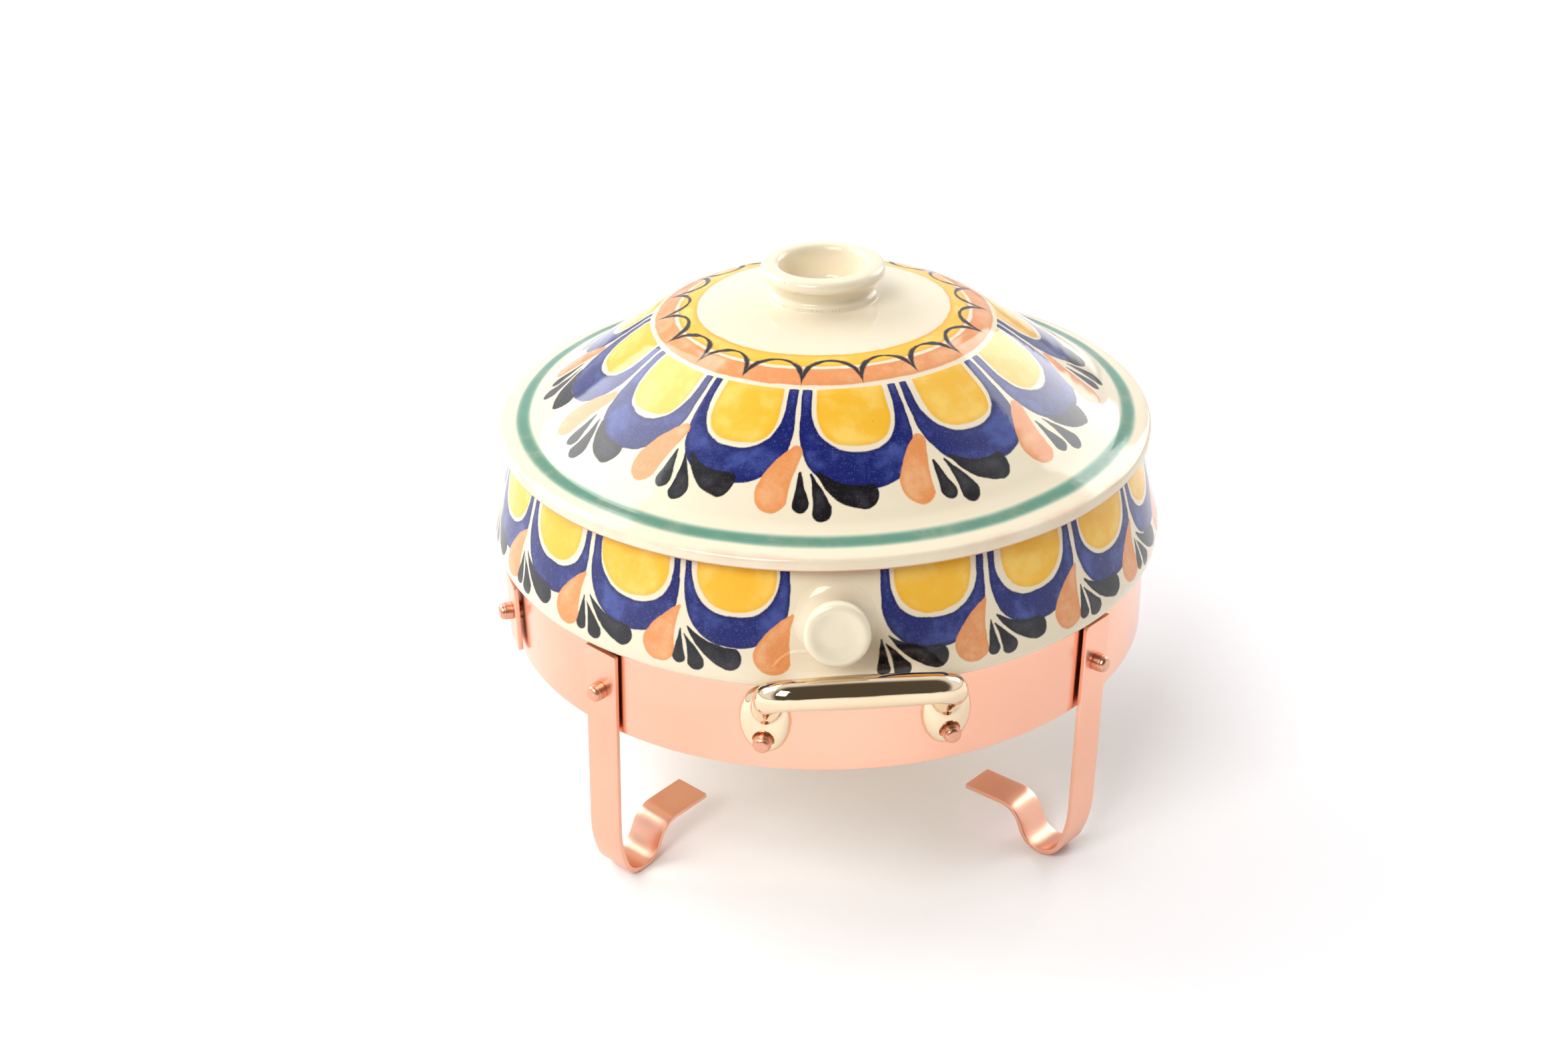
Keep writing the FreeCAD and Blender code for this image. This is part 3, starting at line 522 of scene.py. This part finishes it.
def lid_glaze():
    """Cream lid: yellow and orange rings, a scalloped line, the petals, a green ring."""
    shader = Shader("lid_glaze", IOR=GLAZE_IOR)
    painter = Painter(shader)
    radius, azimuth = shader.radius(), shader.azimuth()
    top_side = shader.ramp(shader.z, LID_REST + 1.5, LID_REST + 2.5)
    past_stripes = 200 * (1 - top_side)  # keeps the underside clear of every stripe
    drift = (shader.noise(60, 1, seed=12.0) - 0.5) * 2.4
    r = radius + drift + past_stripes
    painter.lay(ring(r, 65.5, 4.6), YELLOW, YELLOW_DEEP, YELLOW_PALE, 0.2)
    painter.lay(ring(r, 76.6, 4.8), ORANGE, ORANGE, ORANGE_PALE, 0.45)
    scallop = 20.0
    sway = (shader.noise(70, 1, seed=14.0) - 0.5) * 5
    half = (azimuth + 11.8 + sway).wrap(scallop) / scallop * 2 - 1
    arch = 79.0 - (1 - half * half).at_least(0).root() * 13.2
    slope = 1 + (half * half) * 3
    line = 0.75 - abs(r - arch) / slope
    painter.lay(line, BLACK, BLACK, BLACK_PALE, 0.6)
    place = azimuth + 9.3 + shader.calc("COSINE", (azimuth - 5.0) * (math.pi / 180)) * 2.4
    paint_border(painter, place, 30.0, r, degrees_to_arc(radius), LID_PATTERN)
    soft = ring(r, 147.9, 3.7)
    tint = shader.ramp(soft, -1.0, 1.4) * shader.ramp(painter.wash, 0.25, 0.6, 0.82, 1.0)
    core = shader.ramp(soft, 0.2, 2.8) * shader.ramp(painter.wash, 0.7, 0.4, 0.6, 1.0)
    green = shader.mix(GREEN_PALE, GREEN, core)
    painter.colour = shader.mix(painter.colour, green, tint * 0.95)
    # the glaze runs thin over the rim's corner and the joint face is bare clay
    rim = ring(radius, 158.2, 1.6)
    thin = shader.ramp(rim, -1.5, 1.2) * shader.ramp(shader.noise(30, 3, seed=13.0), 0.42, 0.66)
    painter.colour = shader.mix(painter.colour, THIN_GLAZE, thin * top_side * 0.55)
    joint = shader.ramp(shader.z, LID_REST + 1.6, LID_REST + 0.5)
    raw = joint * shader.ramp(radius, 141.0, 142.0)
    # fine pits in a row on the collar at the knob's foot
    pit_step = 4.0
    spacing = azimuth + (shader.noise(5, 1, seed=15.0) - 0.5) * pit_step
    collar = shader.ramp(ring(shader.z, LID_CROWN + 1.2, 0.35), -0.2, 0.2) * shader.ramp(radius, 25.0, 25.5)
    pits = collar * shader.ramp(spacing.wrap(pit_step), 1.5, 0.9)
    pits = pits * shader.ramp(shader.noise(6, 1, seed=16.0), 0.4, 0.6)
    painter.colour = shader.mix(painter.colour, PIT, pits * 0.5)
    finish_glaze(shader, painter, raw)
    return shader.material


def bowl_glaze():
    """Cream bowl: petals round each side, none by the lugs or inside; bare foot, ledge and rim."""
    shader = Shader("bowl_glaze", IOR=GLAZE_IOR)
    painter = Painter(shader)
    radius, azimuth = shader.radius(), shader.azimuth()
    plain, petals = 6.8, 9
    period = (180 - 2 * plain) / petals
    place = (azimuth - BOWL_TURN + 360).wrap(180.0) - plain
    end = petals * period
    spans = ((0.0, end), (0.0, end + 1.2), (-3.2, end - 1.6))  # petals, orange leaves, black leaves
    windows = [shader.ramp(place, low - 0.1, low + 0.2) * shader.ramp(place, high + 0.1, high - 0.2)
               for low, high in spans]
    # only the outer side of the wall is painted: above the shoulder it leans in, below it is rounded
    rounding = shader.ramp(shader.z, SHOULDER, LEDGE) * 6.5
    half_wall = BOWL_WALL / 2 / math.cos(math.atan(LEAN))
    wall_middle = BOWL_RADIUS - half_wall - (shader.z - SHOULDER).at_least(0) * LEAN - rounding
    outside = shader.ramp(radius - wall_middle, -0.5, 0.5) * shader.ramp(shader.z, BAND_TOP - 1, BAND_TOP)
    border_start = BAND_BOTTOM + 100  # the border's sizes are measured down from here
    depth = border_start - shader.z
    arc = degrees_to_arc(BOWL_RADIUS * 0.97)
    paint_border(painter, place, period, depth, arc, BOWL_PATTERN, [w * outside for w in windows])
    foot = shader.ramp(shader.z, BOWL_FOOT + 1.6, BOWL_FOOT + 0.8)
    ledge = shader.ramp(shader.z, BAND_TOP + 1.8, BAND_TOP + 0.6) * shader.ramp(radius, 156.5, 157.0)
    mouth = shader.ramp(shader.z, BOWL_MOUTH - 1.0, BOWL_MOUTH - 0.2)
    finish_glaze(shader, painter, foot.at_least(ledge * 0.6).at_least(mouth * 0.8))
    return shader.material


# ------------------------------------------------------------------ metals
def metal(name, colour, deep, roughness, brushed=0.0, seed=0.0, swell=0.7):
    """Polished metal: uneven tone, fine brush marks, uneven roughness, small dents.

    brushed sets how strong the brush marks are, and swell how far the surface undulates.
    """
    shader = Shader(name, Metallic=1.0)
    tone = shader.noise(55, 2, seed=seed)
    body = shader.mix(colour, deep, shader.ramp(tone, 0.35, 0.75) * 0.35)
    marks = shader.noise(16, 3, 0.6, stretch=(1, 1, 30), seed=seed + 1)
    body = shader.mix(body, deep, shader.ramp(marks, 0.55, 0.85) * brushed * 0.2)
    body = shader.mix(body, tuple(c * 0.45 for c in deep), shader.specks(9, 0.22, 0.3, seed + 2) * 0.45)
    shader.feed(shader.surface.inputs["Base Color"], body)
    smear = shader.noise(30, 3, 0.5, seed=seed + 3)
    rough = roughness + (smear - 0.5) * roughness * 0.6 + (marks - 0.5) * brushed * 0.06
    shader.feed(shader.surface.inputs["Roughness"], rough)
    height = marks * (brushed * 0.3) + shader.noise(24, 1, seed=seed + 4) * swell
    shader.bump(height - shader.specks(7, 0.3, 0.25, seed + 5) * 0.5, 0.05, 0.5)
    return shader.material


def make_materials():
    """Every material of the set, by name."""
    copper, copper_deep = (0.90, 0.50, 0.36), (0.80, 0.39, 0.26)
    dull_copper, dull_deep = (0.74, 0.38, 0.26), (0.52, 0.23, 0.14)
    brass, brass_deep = (0.83, 0.68, 0.48), (0.68, 0.50, 0.32)
    return {
        "lid": lid_glaze(),
        "bowl": bowl_glaze(),
        "band": metal("copper_band", copper, copper_deep, 0.20, brushed=0.6, seed=20.0),
        "strip": metal("copper_strip", copper, copper_deep, 0.32, brushed=0.5, seed=30.0),
        "nut": metal("copper_nut", dull_copper, dull_deep, 0.34, seed=40.0),
        "brass": metal("cast_brass", brass, brass_deep, 0.07, seed=50.0, swell=3.0),
    }


# ------------------------------------------------------------------ the ceramic pieces
def thrown(start, rise, sway):
    """Bends a turned shape as a hand-thrown one: faint rings and a slow sway, away from the joints."""

    def shape(azimuth, radius, height):
        turn = math.radians(azimuth)
        free = smooth_step((height - start) / rise) * smooth_step((radius - 20) / 30)
        lift = sway * (math.sin(2 * turn + 0.6) + 0.5 * math.sin(3 * turn + 2.0))
        groove = 0.07 * math.sin(radius * 0.9 + 0.7 * math.sin(turn)) + 0.04 * math.sin(radius * 2.1)
        return radius, height + free * (lift + groove)

    return shape


def crossing(one, two):
    """Where two falling lines (radius, height, slope) of a section meet."""
    radius = (one[1] + one[0] * one[2] - two[1] - two[0] * two[2]) / (one[2] - two[2])
    return radius, one[1] - (radius - one[0]) * one[2]


def lid_profile():
    """The lid's section: cup, ring knob, crown, flank, flange, rim, and the underside."""
    wall = 6.6
    crown_slope, flank_slope, flange_slope = (math.tan(math.radians(a)) for a in (10.0, 35.5, 15.0))
    crown = (25.8, LID_CROWN, crown_slope)
    flank = (110.0, LID_REST + 32.9, flank_slope)
    flange = (147.6, LID_REST + 8.7, flange_slope)
    hip, ankle = crossing(crown, flank), crossing(flank, flange)
    rim = 159.3
    rim_up = flange[1] - (rim - flange[0]) * flange_slope
    under_crown = (25.8, crown[1] - wall / math.cos(math.atan(crown_slope)), crown_slope)
    under_flank = (110.0, flank[1] - wall / math.cos(math.atan(flank_slope)), flank_slope)
    under_hip = crossing(under_crown, under_flank)
    locator, locator_inside, locator_end = 142.0, 136.0, LID_REST - 7.5
    locator_top = under_flank[1] - (locator_inside - 110.0) * flank_slope
    top, knob, opening = LID_TOP, 30.2, 21.5  # the opening's edge before it is rounded
    floor = crown[1] + 0.6
    return rounded([
        (0, floor, 0),
        (17.5, floor, 3.0),
        (opening, top + 0.5, 3.2),
        (knob, top - 0.6, 3.0),
        (knob - 0.3, top - 5.6, 2.2),
        (26.6, top - 7.2, 2.2),
        (24.1, crown[1] + 3.6, 1.6),
        (26.2, crown[1] + 2.4, 0.9),
        (27.0, crown[1] - 0.1, 0.9),
        (*hip, 60.0),
        (*ankle, 30.0),
        (rim, rim_up, 2.6),
        (160.0, LID_REST, 1.3),
        (locator, LID_REST, 0.8),
        (locator, locator_end, 1.6),
        (locator_inside, locator_end, 1.6),
        (locator_inside, locator_top, 4.0),
        (*under_hip, 52.0),
        (25.8, under_crown[1], 10.0),
        (0, under_crown[1], 0),
    ])


def make_lid(material):
    work = bmesh.new()
    lathe(work, lid_profile(), 384, shape=thrown(LID_REST + 3, 8, 0.22))
    finish_mesh("lid_glazed", work, material, "lid", ["lid"])


def bowl_profile():
    """The bowl's section, outside from base to rim and back down inside."""
    taper = math.tan(math.radians(12.0))
    wall = BOWL_WALL
    ledge_radius = BAND_RADIUS - BAND_WALL - 1.1
    base = BOWL_FOOT + 2.5
    base_radius = ledge_radius - (LEDGE - base) * taper
    mouth = BOWL_RADIUS - (BOWL_MOUTH - SHOULDER) * LEAN
    across_wall = wall / math.cos(math.atan(LEAN))
    across_taper = wall / math.cos(math.atan(taper))
    floor = base + wall
    foot, foot_half, draft = 99.5, 4.0, 1.5  # the ring it stands on when it is lifted out
    sweep_radius = 42.9
    return rounded([
        (0, base, 0),
        (foot - foot_half - draft, base, 1.0),
        (foot - foot_half, BOWL_FOOT, 0.8),
        (foot + foot_half, BOWL_FOOT, 1.0),
        (foot + foot_half + draft, base, 1.0),
        (base_radius, base, sweep_radius),
        (ledge_radius, LEDGE, 0.6),
        (BOWL_RADIUS, LEDGE, 6.0),
        (BOWL_RADIUS, SHOULDER, 20.0),
        (mouth, BOWL_MOUTH, 3.2),
        (mouth - across_wall, BOWL_MOUTH, 3.2),
        (BOWL_RADIUS - across_wall - 0.5 * LEAN, SHOULDER + 0.5, 8.0),
        (ledge_radius - across_taper - 0.9 * taper, LEDGE - 0.9, 8.0),
        (base_radius - across_taper + wall * taper, floor, sweep_radius - wall),
        (0, floor, 0),
    ])


def add_lug(work, azimuth):
    """A round lug: its flare runs out on the wall, then a waist and a thick dished face."""
    root_height = BAND_BOTTOM + 78.1
    length, face, neck, root = 22.8, 14.7, 11.8, 19.0
    flare_height = 7.0
    start = outward(azimuth) * (BOWL_RADIUS - (root_height - SHOULDER) * LEAN) + Vector((0, 0, root_height))
    tilt = math.radians(12.0)
    axis = outward(azimuth) * math.cos(tilt) + Vector((0, 0, math.sin(tilt)))
    across = sideways(azimuth)
    up = axis.cross(across) * -1
    sides, steps = 72, 12
    turns = [2 * math.pi * j / sides for j in range(sides)]
    spokes = [across * math.cos(turn) + up * math.sin(turn) for turn in turns]

    def wall_depth(spoke):
        """How far along the axis the bowl's wall lies under a spoke of the lug."""
        depth = 0.0
        for _ in range(6):
            point = start + spoke + axis * depth
            wall = BOWL_RADIUS - (point.z - SHOULDER) * LEAN
            depth -= math.hypot(point.x, point.y) - wall
        return depth

    rings = []
    for k in range(steps + 1):
        reach = root + (neck - root) * math.sin(math.pi / 2 * k / steps)
        lift = flare_height * (1 - math.cos(math.pi / 2 * k / steps))
        sunk = 0.25 if k == 0 else 0.0
        rings.append([work.verts.new(start + spoke * reach + axis * (wall_depth(spoke * reach) + lift - sunk))
                      for spoke in spokes])
    head = rounded([
        (neck, flare_height + 1.2, 0),
        (neck, length - 8.6, 2.6),
        (face, length - 6.4, 2.0),
        (face - 0.2, length, 2.8),
        (face / 2, length - 2.2, 14.0),
        (0, length - 2.2, 0),
    ], longest=1.5)
    for reach, depth in head:
        if reach < 1e-6:
            rings.append([work.verts.new(start + axis * depth)])
            continue
        rings.append([work.verts.new(start + axis * depth + spoke * reach) for spoke in spokes])
    bridge(work, rings)
    work.faces.new(rings[0])


def make_bowl(material):
    work = bmesh.new()
    lathe(work, bowl_profile(), 384)
    for azimuth in (BOWL_TURN, BOWL_TURN + 180):
        add_lug(work, azimuth)
    finish_mesh("bowl_glazed", work, material, "bowl", ["bowl"])


# ------------------------------------------------------------------ the copper stand
def make_band(material):
    """The band: a rolled sheet with softened edges and a very slight wave."""
    inside = BAND_RADIUS - BAND_WALL
    edge = 0.5
    profile = rounded([
        (inside, BAND_BOTTOM, edge),
        (BAND_RADIUS, BAND_BOTTOM, edge),
        (BAND_RADIUS, BAND_TOP, edge),
        (inside, BAND_TOP, edge),
    ], closed=True)

    def wave(azimuth, radius, height):
        turn = math.radians(azimuth)
        sway = math.sin(7 * turn + 1.0) * math.sin(height * 0.07) + 0.6 * math.sin(11 * turn)
        return radius + 0.02 * sway - 0.02, height

    work = bmesh.new()
    lathe(work, profile, 360, closed=True, shape=wave)
    finish_mesh("band_copper", work, material, "stand", ["band"])


def strip_section():
    """The strip's rounded section as (through the strip, across it)."""
    half_t, half_w, edge = STRIP_THICKNESS / 2, STRIP_WIDTH / 2, 0.45
    signs = ((-1, -1), (1, -1), (1, 1), (-1, 1))
    corners = [(half_t * through, half_w * across, edge) for through, across in signs]
    return [(p.x, p.y) for p in rounded(corners, closed=True, longest=4.0)]


def strip_frames(line, azimuth):
    """Frames along a strip's middle line of (inwards, height) points, with softened ends."""
    frames = []
    for i, point in enumerate(line):
        before, after = line[max(i - 1, 0)], line[min(i + 1, len(line) - 1)]
        along = (after - before).normalized()
        out = outward(azimuth)
        place = out * (STRIP_MIDDLE - point.x) + Vector((0, 0, point.y))
        # the strip's outer face looks away from the bends' inner side
        through = out * -along.y + Vector((0, 0, -along.x))
        frames.append((place, through, sideways(azimuth), 1.0))
    worn = ((0.45, 1.0), (0.12, 0.975), (0.0, 0.93))  # distance from the end, width there
    ends = []
    for place, other in ((frames[0], frames[1]), (frames[-1], frames[-2])):
        back = (other[0] - place[0]).normalized()
        ends.append([(place[0] + back * inset, place[1], place[2], scale) for inset, scale in worn])
    return ends[0][::-1] + frames[1:-1] + ends[1]


def leg_line():
    """A leg's middle line from its top to the pad's tip, as (inwards, height)."""
    ankle_radius, bend = 60.0, 12.0
    ankle, rise = math.radians(20.0), math.radians(65.0)
    # a swung strip stands on one corner of its foot, so it is made that much shorter
    half = STRIP_WIDTH / 2
    lift = BAND_MIDDLE - (BAND_MIDDLE - half * math.sin(LEG_SWING)) / math.cos(LEG_SWING)
    floor, pad, link = STRIP_THICKNESS / 2 + lift, 19.2 + lift, 3.0
    pad_reach = 101.0  # radius of the pad's tip
    foot_up = floor + bend - bend * math.sin(ankle)
    ankle_up = foot_up + link * math.cos(ankle) + ankle_radius * math.sin(ankle)
    ankle_corner = ankle_up - ankle_radius * math.tan(ankle / 2)
    foot_in = ankle_radius * (1 - math.cos(ankle)) + link * math.sin(ankle)
    rise_up = floor + bend - bend * math.cos(rise)
    rise_in = foot_in + bend * math.cos(ankle) + bend * math.sin(rise)
    lean, climb = math.tan(ankle), math.tan(rise)
    corner_up = (foot_in + foot_up * lean - rise_in + rise_up / climb) / (lean + 1 / climb)
    corner_in = foot_in + (foot_up - corner_up) * lean
    instep_in = rise_in + (pad - rise_up) / climb
    return rounded([
        (0, LEG_TOP, 0),
        (0, ankle_corner, ankle_radius),
        (corner_in, corner_up, bend),
        (instep_in, pad, bend),
        (STRIP_MIDDLE - pad_reach, pad, 0),
    ], longest=4.0)


def make_strips(material):
    """Four bent legs and the short side strap."""
    section = strip_section()
    line = leg_line()
    for place, azimuth in LEG_AZIMUTHS.items():
        work = bmesh.new()
        sweep(work, strip_frames(line, azimuth), section)
        swing = Matrix.Rotation(-LEG_SWING, 3, outward(azimuth))
        bmesh.ops.rotate(work, cent=Vector((0, 0, BAND_MIDDLE)), matrix=swing, verts=work.verts)
        finish_mesh("leg_" + place + "_strip", work, material, "stand", ["leg_" + place])
    low, high = span("side_strap", 2)
    line = rounded([(0, high, 0), (0, low, 0)], longest=4.0)
    work = bmesh.new()
    sweep(work, strip_frames(line, STRAP_AZIMUTH), section)
    finish_mesh("side_strap_strip", work, material, "stand", ["side_strap"])


def make_cap_nuts(material):
    """Round cap nuts: a straight barrel, a small step and a low dome."""
    stations = {"leg_" + place: (azimuth, BAND_MIDDLE, STRIP_OUTER)
                for place, azimuth in LEG_AZIMUTHS.items()}
    stations["strap"] = (STRAP_AZIMUTH, BAND_MIDDLE, STRIP_OUTER)
    for word, middle in (("front", 0.0), ("rear", 180.0)):
        for side, name in ((-1, "left"), (1, "right")):
            azimuth = middle + side * OVAL_AZIMUTH
            stations[f"handle_{word}_{name}"] = (azimuth, HANDLE_BOLT_HEIGHT, HANDLE_SEAT)
    body = rounded([
        (0, 0, 0),
        (4.3, 0, 0.3),
        (4.3, 4.0, 0.3),
        (3.9, 4.05, 0.1),
        (3.95, 4.4, 0.2),
        (3.9, 6.4, 2.0),
        (0, 6.5, 0),
    ], longest=1.0)
    for name, (azimuth, height, seat) in stations.items():
        work = bmesh.new()
        lathe(work, body, 48)
        turn = Matrix.Rotation(math.radians(azimuth - 90), 4, "Z") @ Matrix.Rotation(math.pi / 2, 4, "Y")
        place = outward(azimuth) * (seat + 0.02) + Vector((0, 0, height))
        bmesh.ops.transform(work, matrix=Matrix.Translation(place) @ turn, verts=work.verts)
        finish_mesh("cap_nut_" + name + "_dome", work, material, "stand", ["cap_nut_" + name])


# ------------------------------------------------------------------ the cast handles
def handle_blank():
    """The front handle as one rough closed skin: bar, elbows, arms and oval pads."""
    reach, rise, tilt = 26.0, 58.0, math.radians(40.2)
    middle = Vector((0, -(BAND_RADIUS + reach), BAND_BOTTOM + rise))
    down = Vector((0, math.cos(tilt), -math.sin(tilt)))
    half, elbow, arm, bar = 40.0, 10.0, 6.9, 7.5
    line = rounded([(-half, 44.0, 0), (-half, 0, elbow), (half, 0, elbow), (half, 44.0, 0)], longest=2.0)
    side = Vector((1, 0, 0))
    up = side.cross(down)
    circle = [(math.cos(math.tau * k / 40), math.sin(math.tau * k / 40)) for k in range(40)]
    frames = []
    for i, point in enumerate(line):
        along = (line[min(i + 1, len(line) - 1)] - line[max(i - 1, 0)]).normalized()
        flat = side * -along.y + down * along.x
        inner = half - elbow
        swell = max(0.0, 1 - (point.x / inner) ** 2) if point.y < 0.01 else 0.0
        frames.append((middle + side * point.x + down * point.y, flat, up, arm + (bar - arm) * swell))
    work = bmesh.new()
    sweep(work, frames, circle)
    for word in (-1, 1):
        azimuth = word * OVAL_AZIMUTH
        centre = outward(azimuth) * BAND_RADIUS + Vector((0, 0, BAND_BOTTOM + 26.5))
        add_oval(work, centre, outward(azimuth), sideways(azimuth))
    return work


def add_oval(work, centre, out, across):
    """A domed oval pad, closed behind the band's surface."""
    half_width, half_height, depth, back = 11.9, 17.3, 6.3, -3.0
    steps, sides = 14, 56
    rings = []
    for k in range(steps + 1):
        turn = math.pi / 2 * k / steps
        size, lift = math.cos(turn) ** 0.85, depth * math.sin(turn)
        if k == steps:
            rings.append([work.verts.new(centre + out * depth)])
            continue
        points = []
        for j in range(sides):
            angle = math.tau * j / sides
            side = across * (half_width * size * math.cos(angle))
            points.append(work.verts.new(centre + side + out * lift
                                         + Vector((0, 0, half_height * size * math.sin(angle)))))
        rings.append(points)
    rim = [work.verts.new(v.co + out * back) for v in rings[0]]
    bridge(work, [rim] + rings)
    work.faces.new(rim)


def make_handles(material):
    """Both handles: the blank remeshed into one casting, smoothed, and seated on the band."""
    blank = bpy.data.meshes.new("handle_blank")
    work = handle_blank()
    bmesh.ops.recalc_face_normals(work, faces=work.faces)
    work.to_mesh(blank)
    work.free()
    holder = bpy.data.objects.new("handle_blank", blank)
    bpy.context.collection.objects.link(holder)
    remesh = holder.modifiers.new("one_skin", "REMESH")
    remesh.mode = "VOXEL"
    remesh.voxel_size = 0.62
    soften = holder.modifiers.new("soften", "SMOOTH")
    soften.factor = 0.5
    soften.iterations = 18
    bpy.context.view_layer.update()
    cast = bpy.data.meshes.new_from_object(holder.evaluated_get(bpy.context.evaluated_depsgraph_get()))
    bpy.data.objects.remove(holder)
    seats = [(outward(s * OVAL_AZIMUTH), HANDLE_BOLT_HEIGHT) for s in (-1, 1)]
    for word, turn in (("front", 0.0), ("rear", math.pi)):
        work = bmesh.new()
        work.from_mesh(cast)
        for vert in work.verts:
            seat_handle(vert, seats)
        bmesh.ops.rotate(work, matrix=Matrix.Rotation(turn, 3, "Z"), verts=work.verts)
        finish_mesh("handle_" + word + "_cast", work, material, "stand", ["handle_" + word], 60.0)


def seat_handle(vert, seats):
    """Keep a point of a handle off the band, and flat under the cap nuts."""
    flat, blend = 4.5, 0.7  # radius of the level seat and width of its edge
    for out, height in seats:
        along = vert.co.dot(out)
        away = vert.co - out * along - Vector((0, 0, height))
        if away.length < flat + blend and along > HANDLE_SEAT:
            level = smooth_step((away.length - flat) / blend)
            vert.co -= out * ((along - HANDLE_SEAT) * (1 - level))
    clear = BAND_RADIUS + 0.06
    reach = math.hypot(vert.co.x, vert.co.y)
    if reach < clear:
        vert.co.x *= clear / reach
        vert.co.y *= clear / reach


# ------------------------------------------------------------------ carried-over CAD nodes
def dress_nodes(material):
    """Bolts and washers keep their CAD shape."""
    for name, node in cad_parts.items():
        if name.startswith(("bolt_", "washer_")):
            node.data.materials.clear()
            node.data.materials.append(material)


# ------------------------------------------------------------------ studio
def make_floor():
    """A wide pale table top."""
    shader = Shader("table_top", Roughness=0.9, Specular_IOR_Level=0.1)
    tone = shader.mix((0.93, 0.93, 0.935), (0.90, 0.90, 0.91), shader.noise(260, 3, seed=70.0))
    shader.feed(shader.surface.inputs["Base Color"], tone)
    work = bmesh.new()
    half = 60.0  # metres
    for x, y in ((-half, -half), (half, -half), (half, half), (-half, half)):
        work.verts.new((x, y, 0))
    work.faces.new(work.verts)
    mesh = bpy.data.meshes.new("table_top")
    work.to_mesh(mesh)
    work.free()
    mesh.materials.append(shader.material)
    floor = bpy.data.objects.new("table_top", mesh)
    bpy.context.collection.objects.link(floor)


def make_world():
    """A pale room that is dark overhead and behind the viewer, for the glaze and metal to reflect."""
    world = bpy.data.worlds.new("studio")
    bpy.context.scene.world = world
    world.use_nodes = True
    tree = world.node_tree
    place = tree.nodes.new("ShaderNodeTexCoord")
    facing = tree.nodes.new("ShaderNodeVectorMath")
    facing.operation = "DOT_PRODUCT"
    tree.links.new(place.outputs["Generated"], facing.inputs[0])
    facing.inputs[1].default_value = (0.0, -0.8, 0.6)
    dark = tree.nodes.new("ShaderNodeMapRange")
    dark.interpolation_type = "SMOOTHSTEP"
    tree.links.new(facing.outputs["Value"], dark.inputs[0])
    for socket, value in zip(list(dark.inputs)[1:5], (0.30, 0.66, 0.0, 1.0)):
        socket.default_value = value
    shade = tree.nodes.new("ShaderNodeMix")
    shade.data_type = "RGBA"
    tree.links.new(dark.outputs[0], shade.inputs["Factor"])
    shade.inputs[6].default_value = (1.0, 1.0, 1.03, 1)
    shade.inputs[7].default_value = (0.10, 0.085, 0.070, 1)
    tree.links.new(shade.outputs[2], tree.nodes["Background"].inputs[0])


def add_light(name, place, target, width, height, power):
    """A soft rectangular lamp that faces a target, in metres and watts."""
    data = bpy.data.lights.new(name, "AREA")
    data.shape = "RECTANGLE"
    data.size, data.size_y = width, height
    data.energy = power
    lamp = bpy.data.objects.new(name, data)
    bpy.context.collection.objects.link(lamp)
    lamp.location = place
    lamp.rotation_euler = (Vector(target) - Vector(place)).to_track_quat("-Z", "Y").to_euler()


def make_camera():
    """The viewing angle: a little left of the front, looking down, level within a degree or so."""
    data = bpy.data.cameras.new("view")
    data.sensor_width = 36.0
    data.lens = 47.94
    camera = bpy.data.objects.new("view", data)
    bpy.context.collection.objects.link(camera)
    heading, pitch, roll = math.radians(-3.335), math.radians(28.0), math.radians(-1.209)
    turn = (Matrix.Rotation(heading, 4, "Z") @ Matrix.Rotation(math.pi / 2 - pitch, 4, "X")
            @ Matrix.Rotation(roll, 4, "Z"))
    camera.matrix_world = Matrix.Translation((-0.07574, -0.93530, 0.62937)) @ turn
    bpy.context.scene.camera = camera


materials = make_materials()
make_lid(materials["lid"])
make_bowl(materials["bowl"])
make_band(materials["band"])
make_strips(materials["strip"])
make_cap_nuts(materials["nut"])
make_handles(materials["brass"])
dress_nodes(materials["nut"])
make_floor()
make_world()
add_light("key", (-1.3, -1.6, 2.1), (0, 0, 0.1), 1.5, 1.5, 58)
add_light("left_back", (-1.9, 1.3, 1.7), (0, 0, 0.1), 2.3, 2.0, 52)
add_light("right_back", (1.9, 1.5, 1.3), (0, 0, 0.1), 1.6, 1.5, 28)
make_camera()
bpy.context.scene.view_settings.view_transform = "Standard"
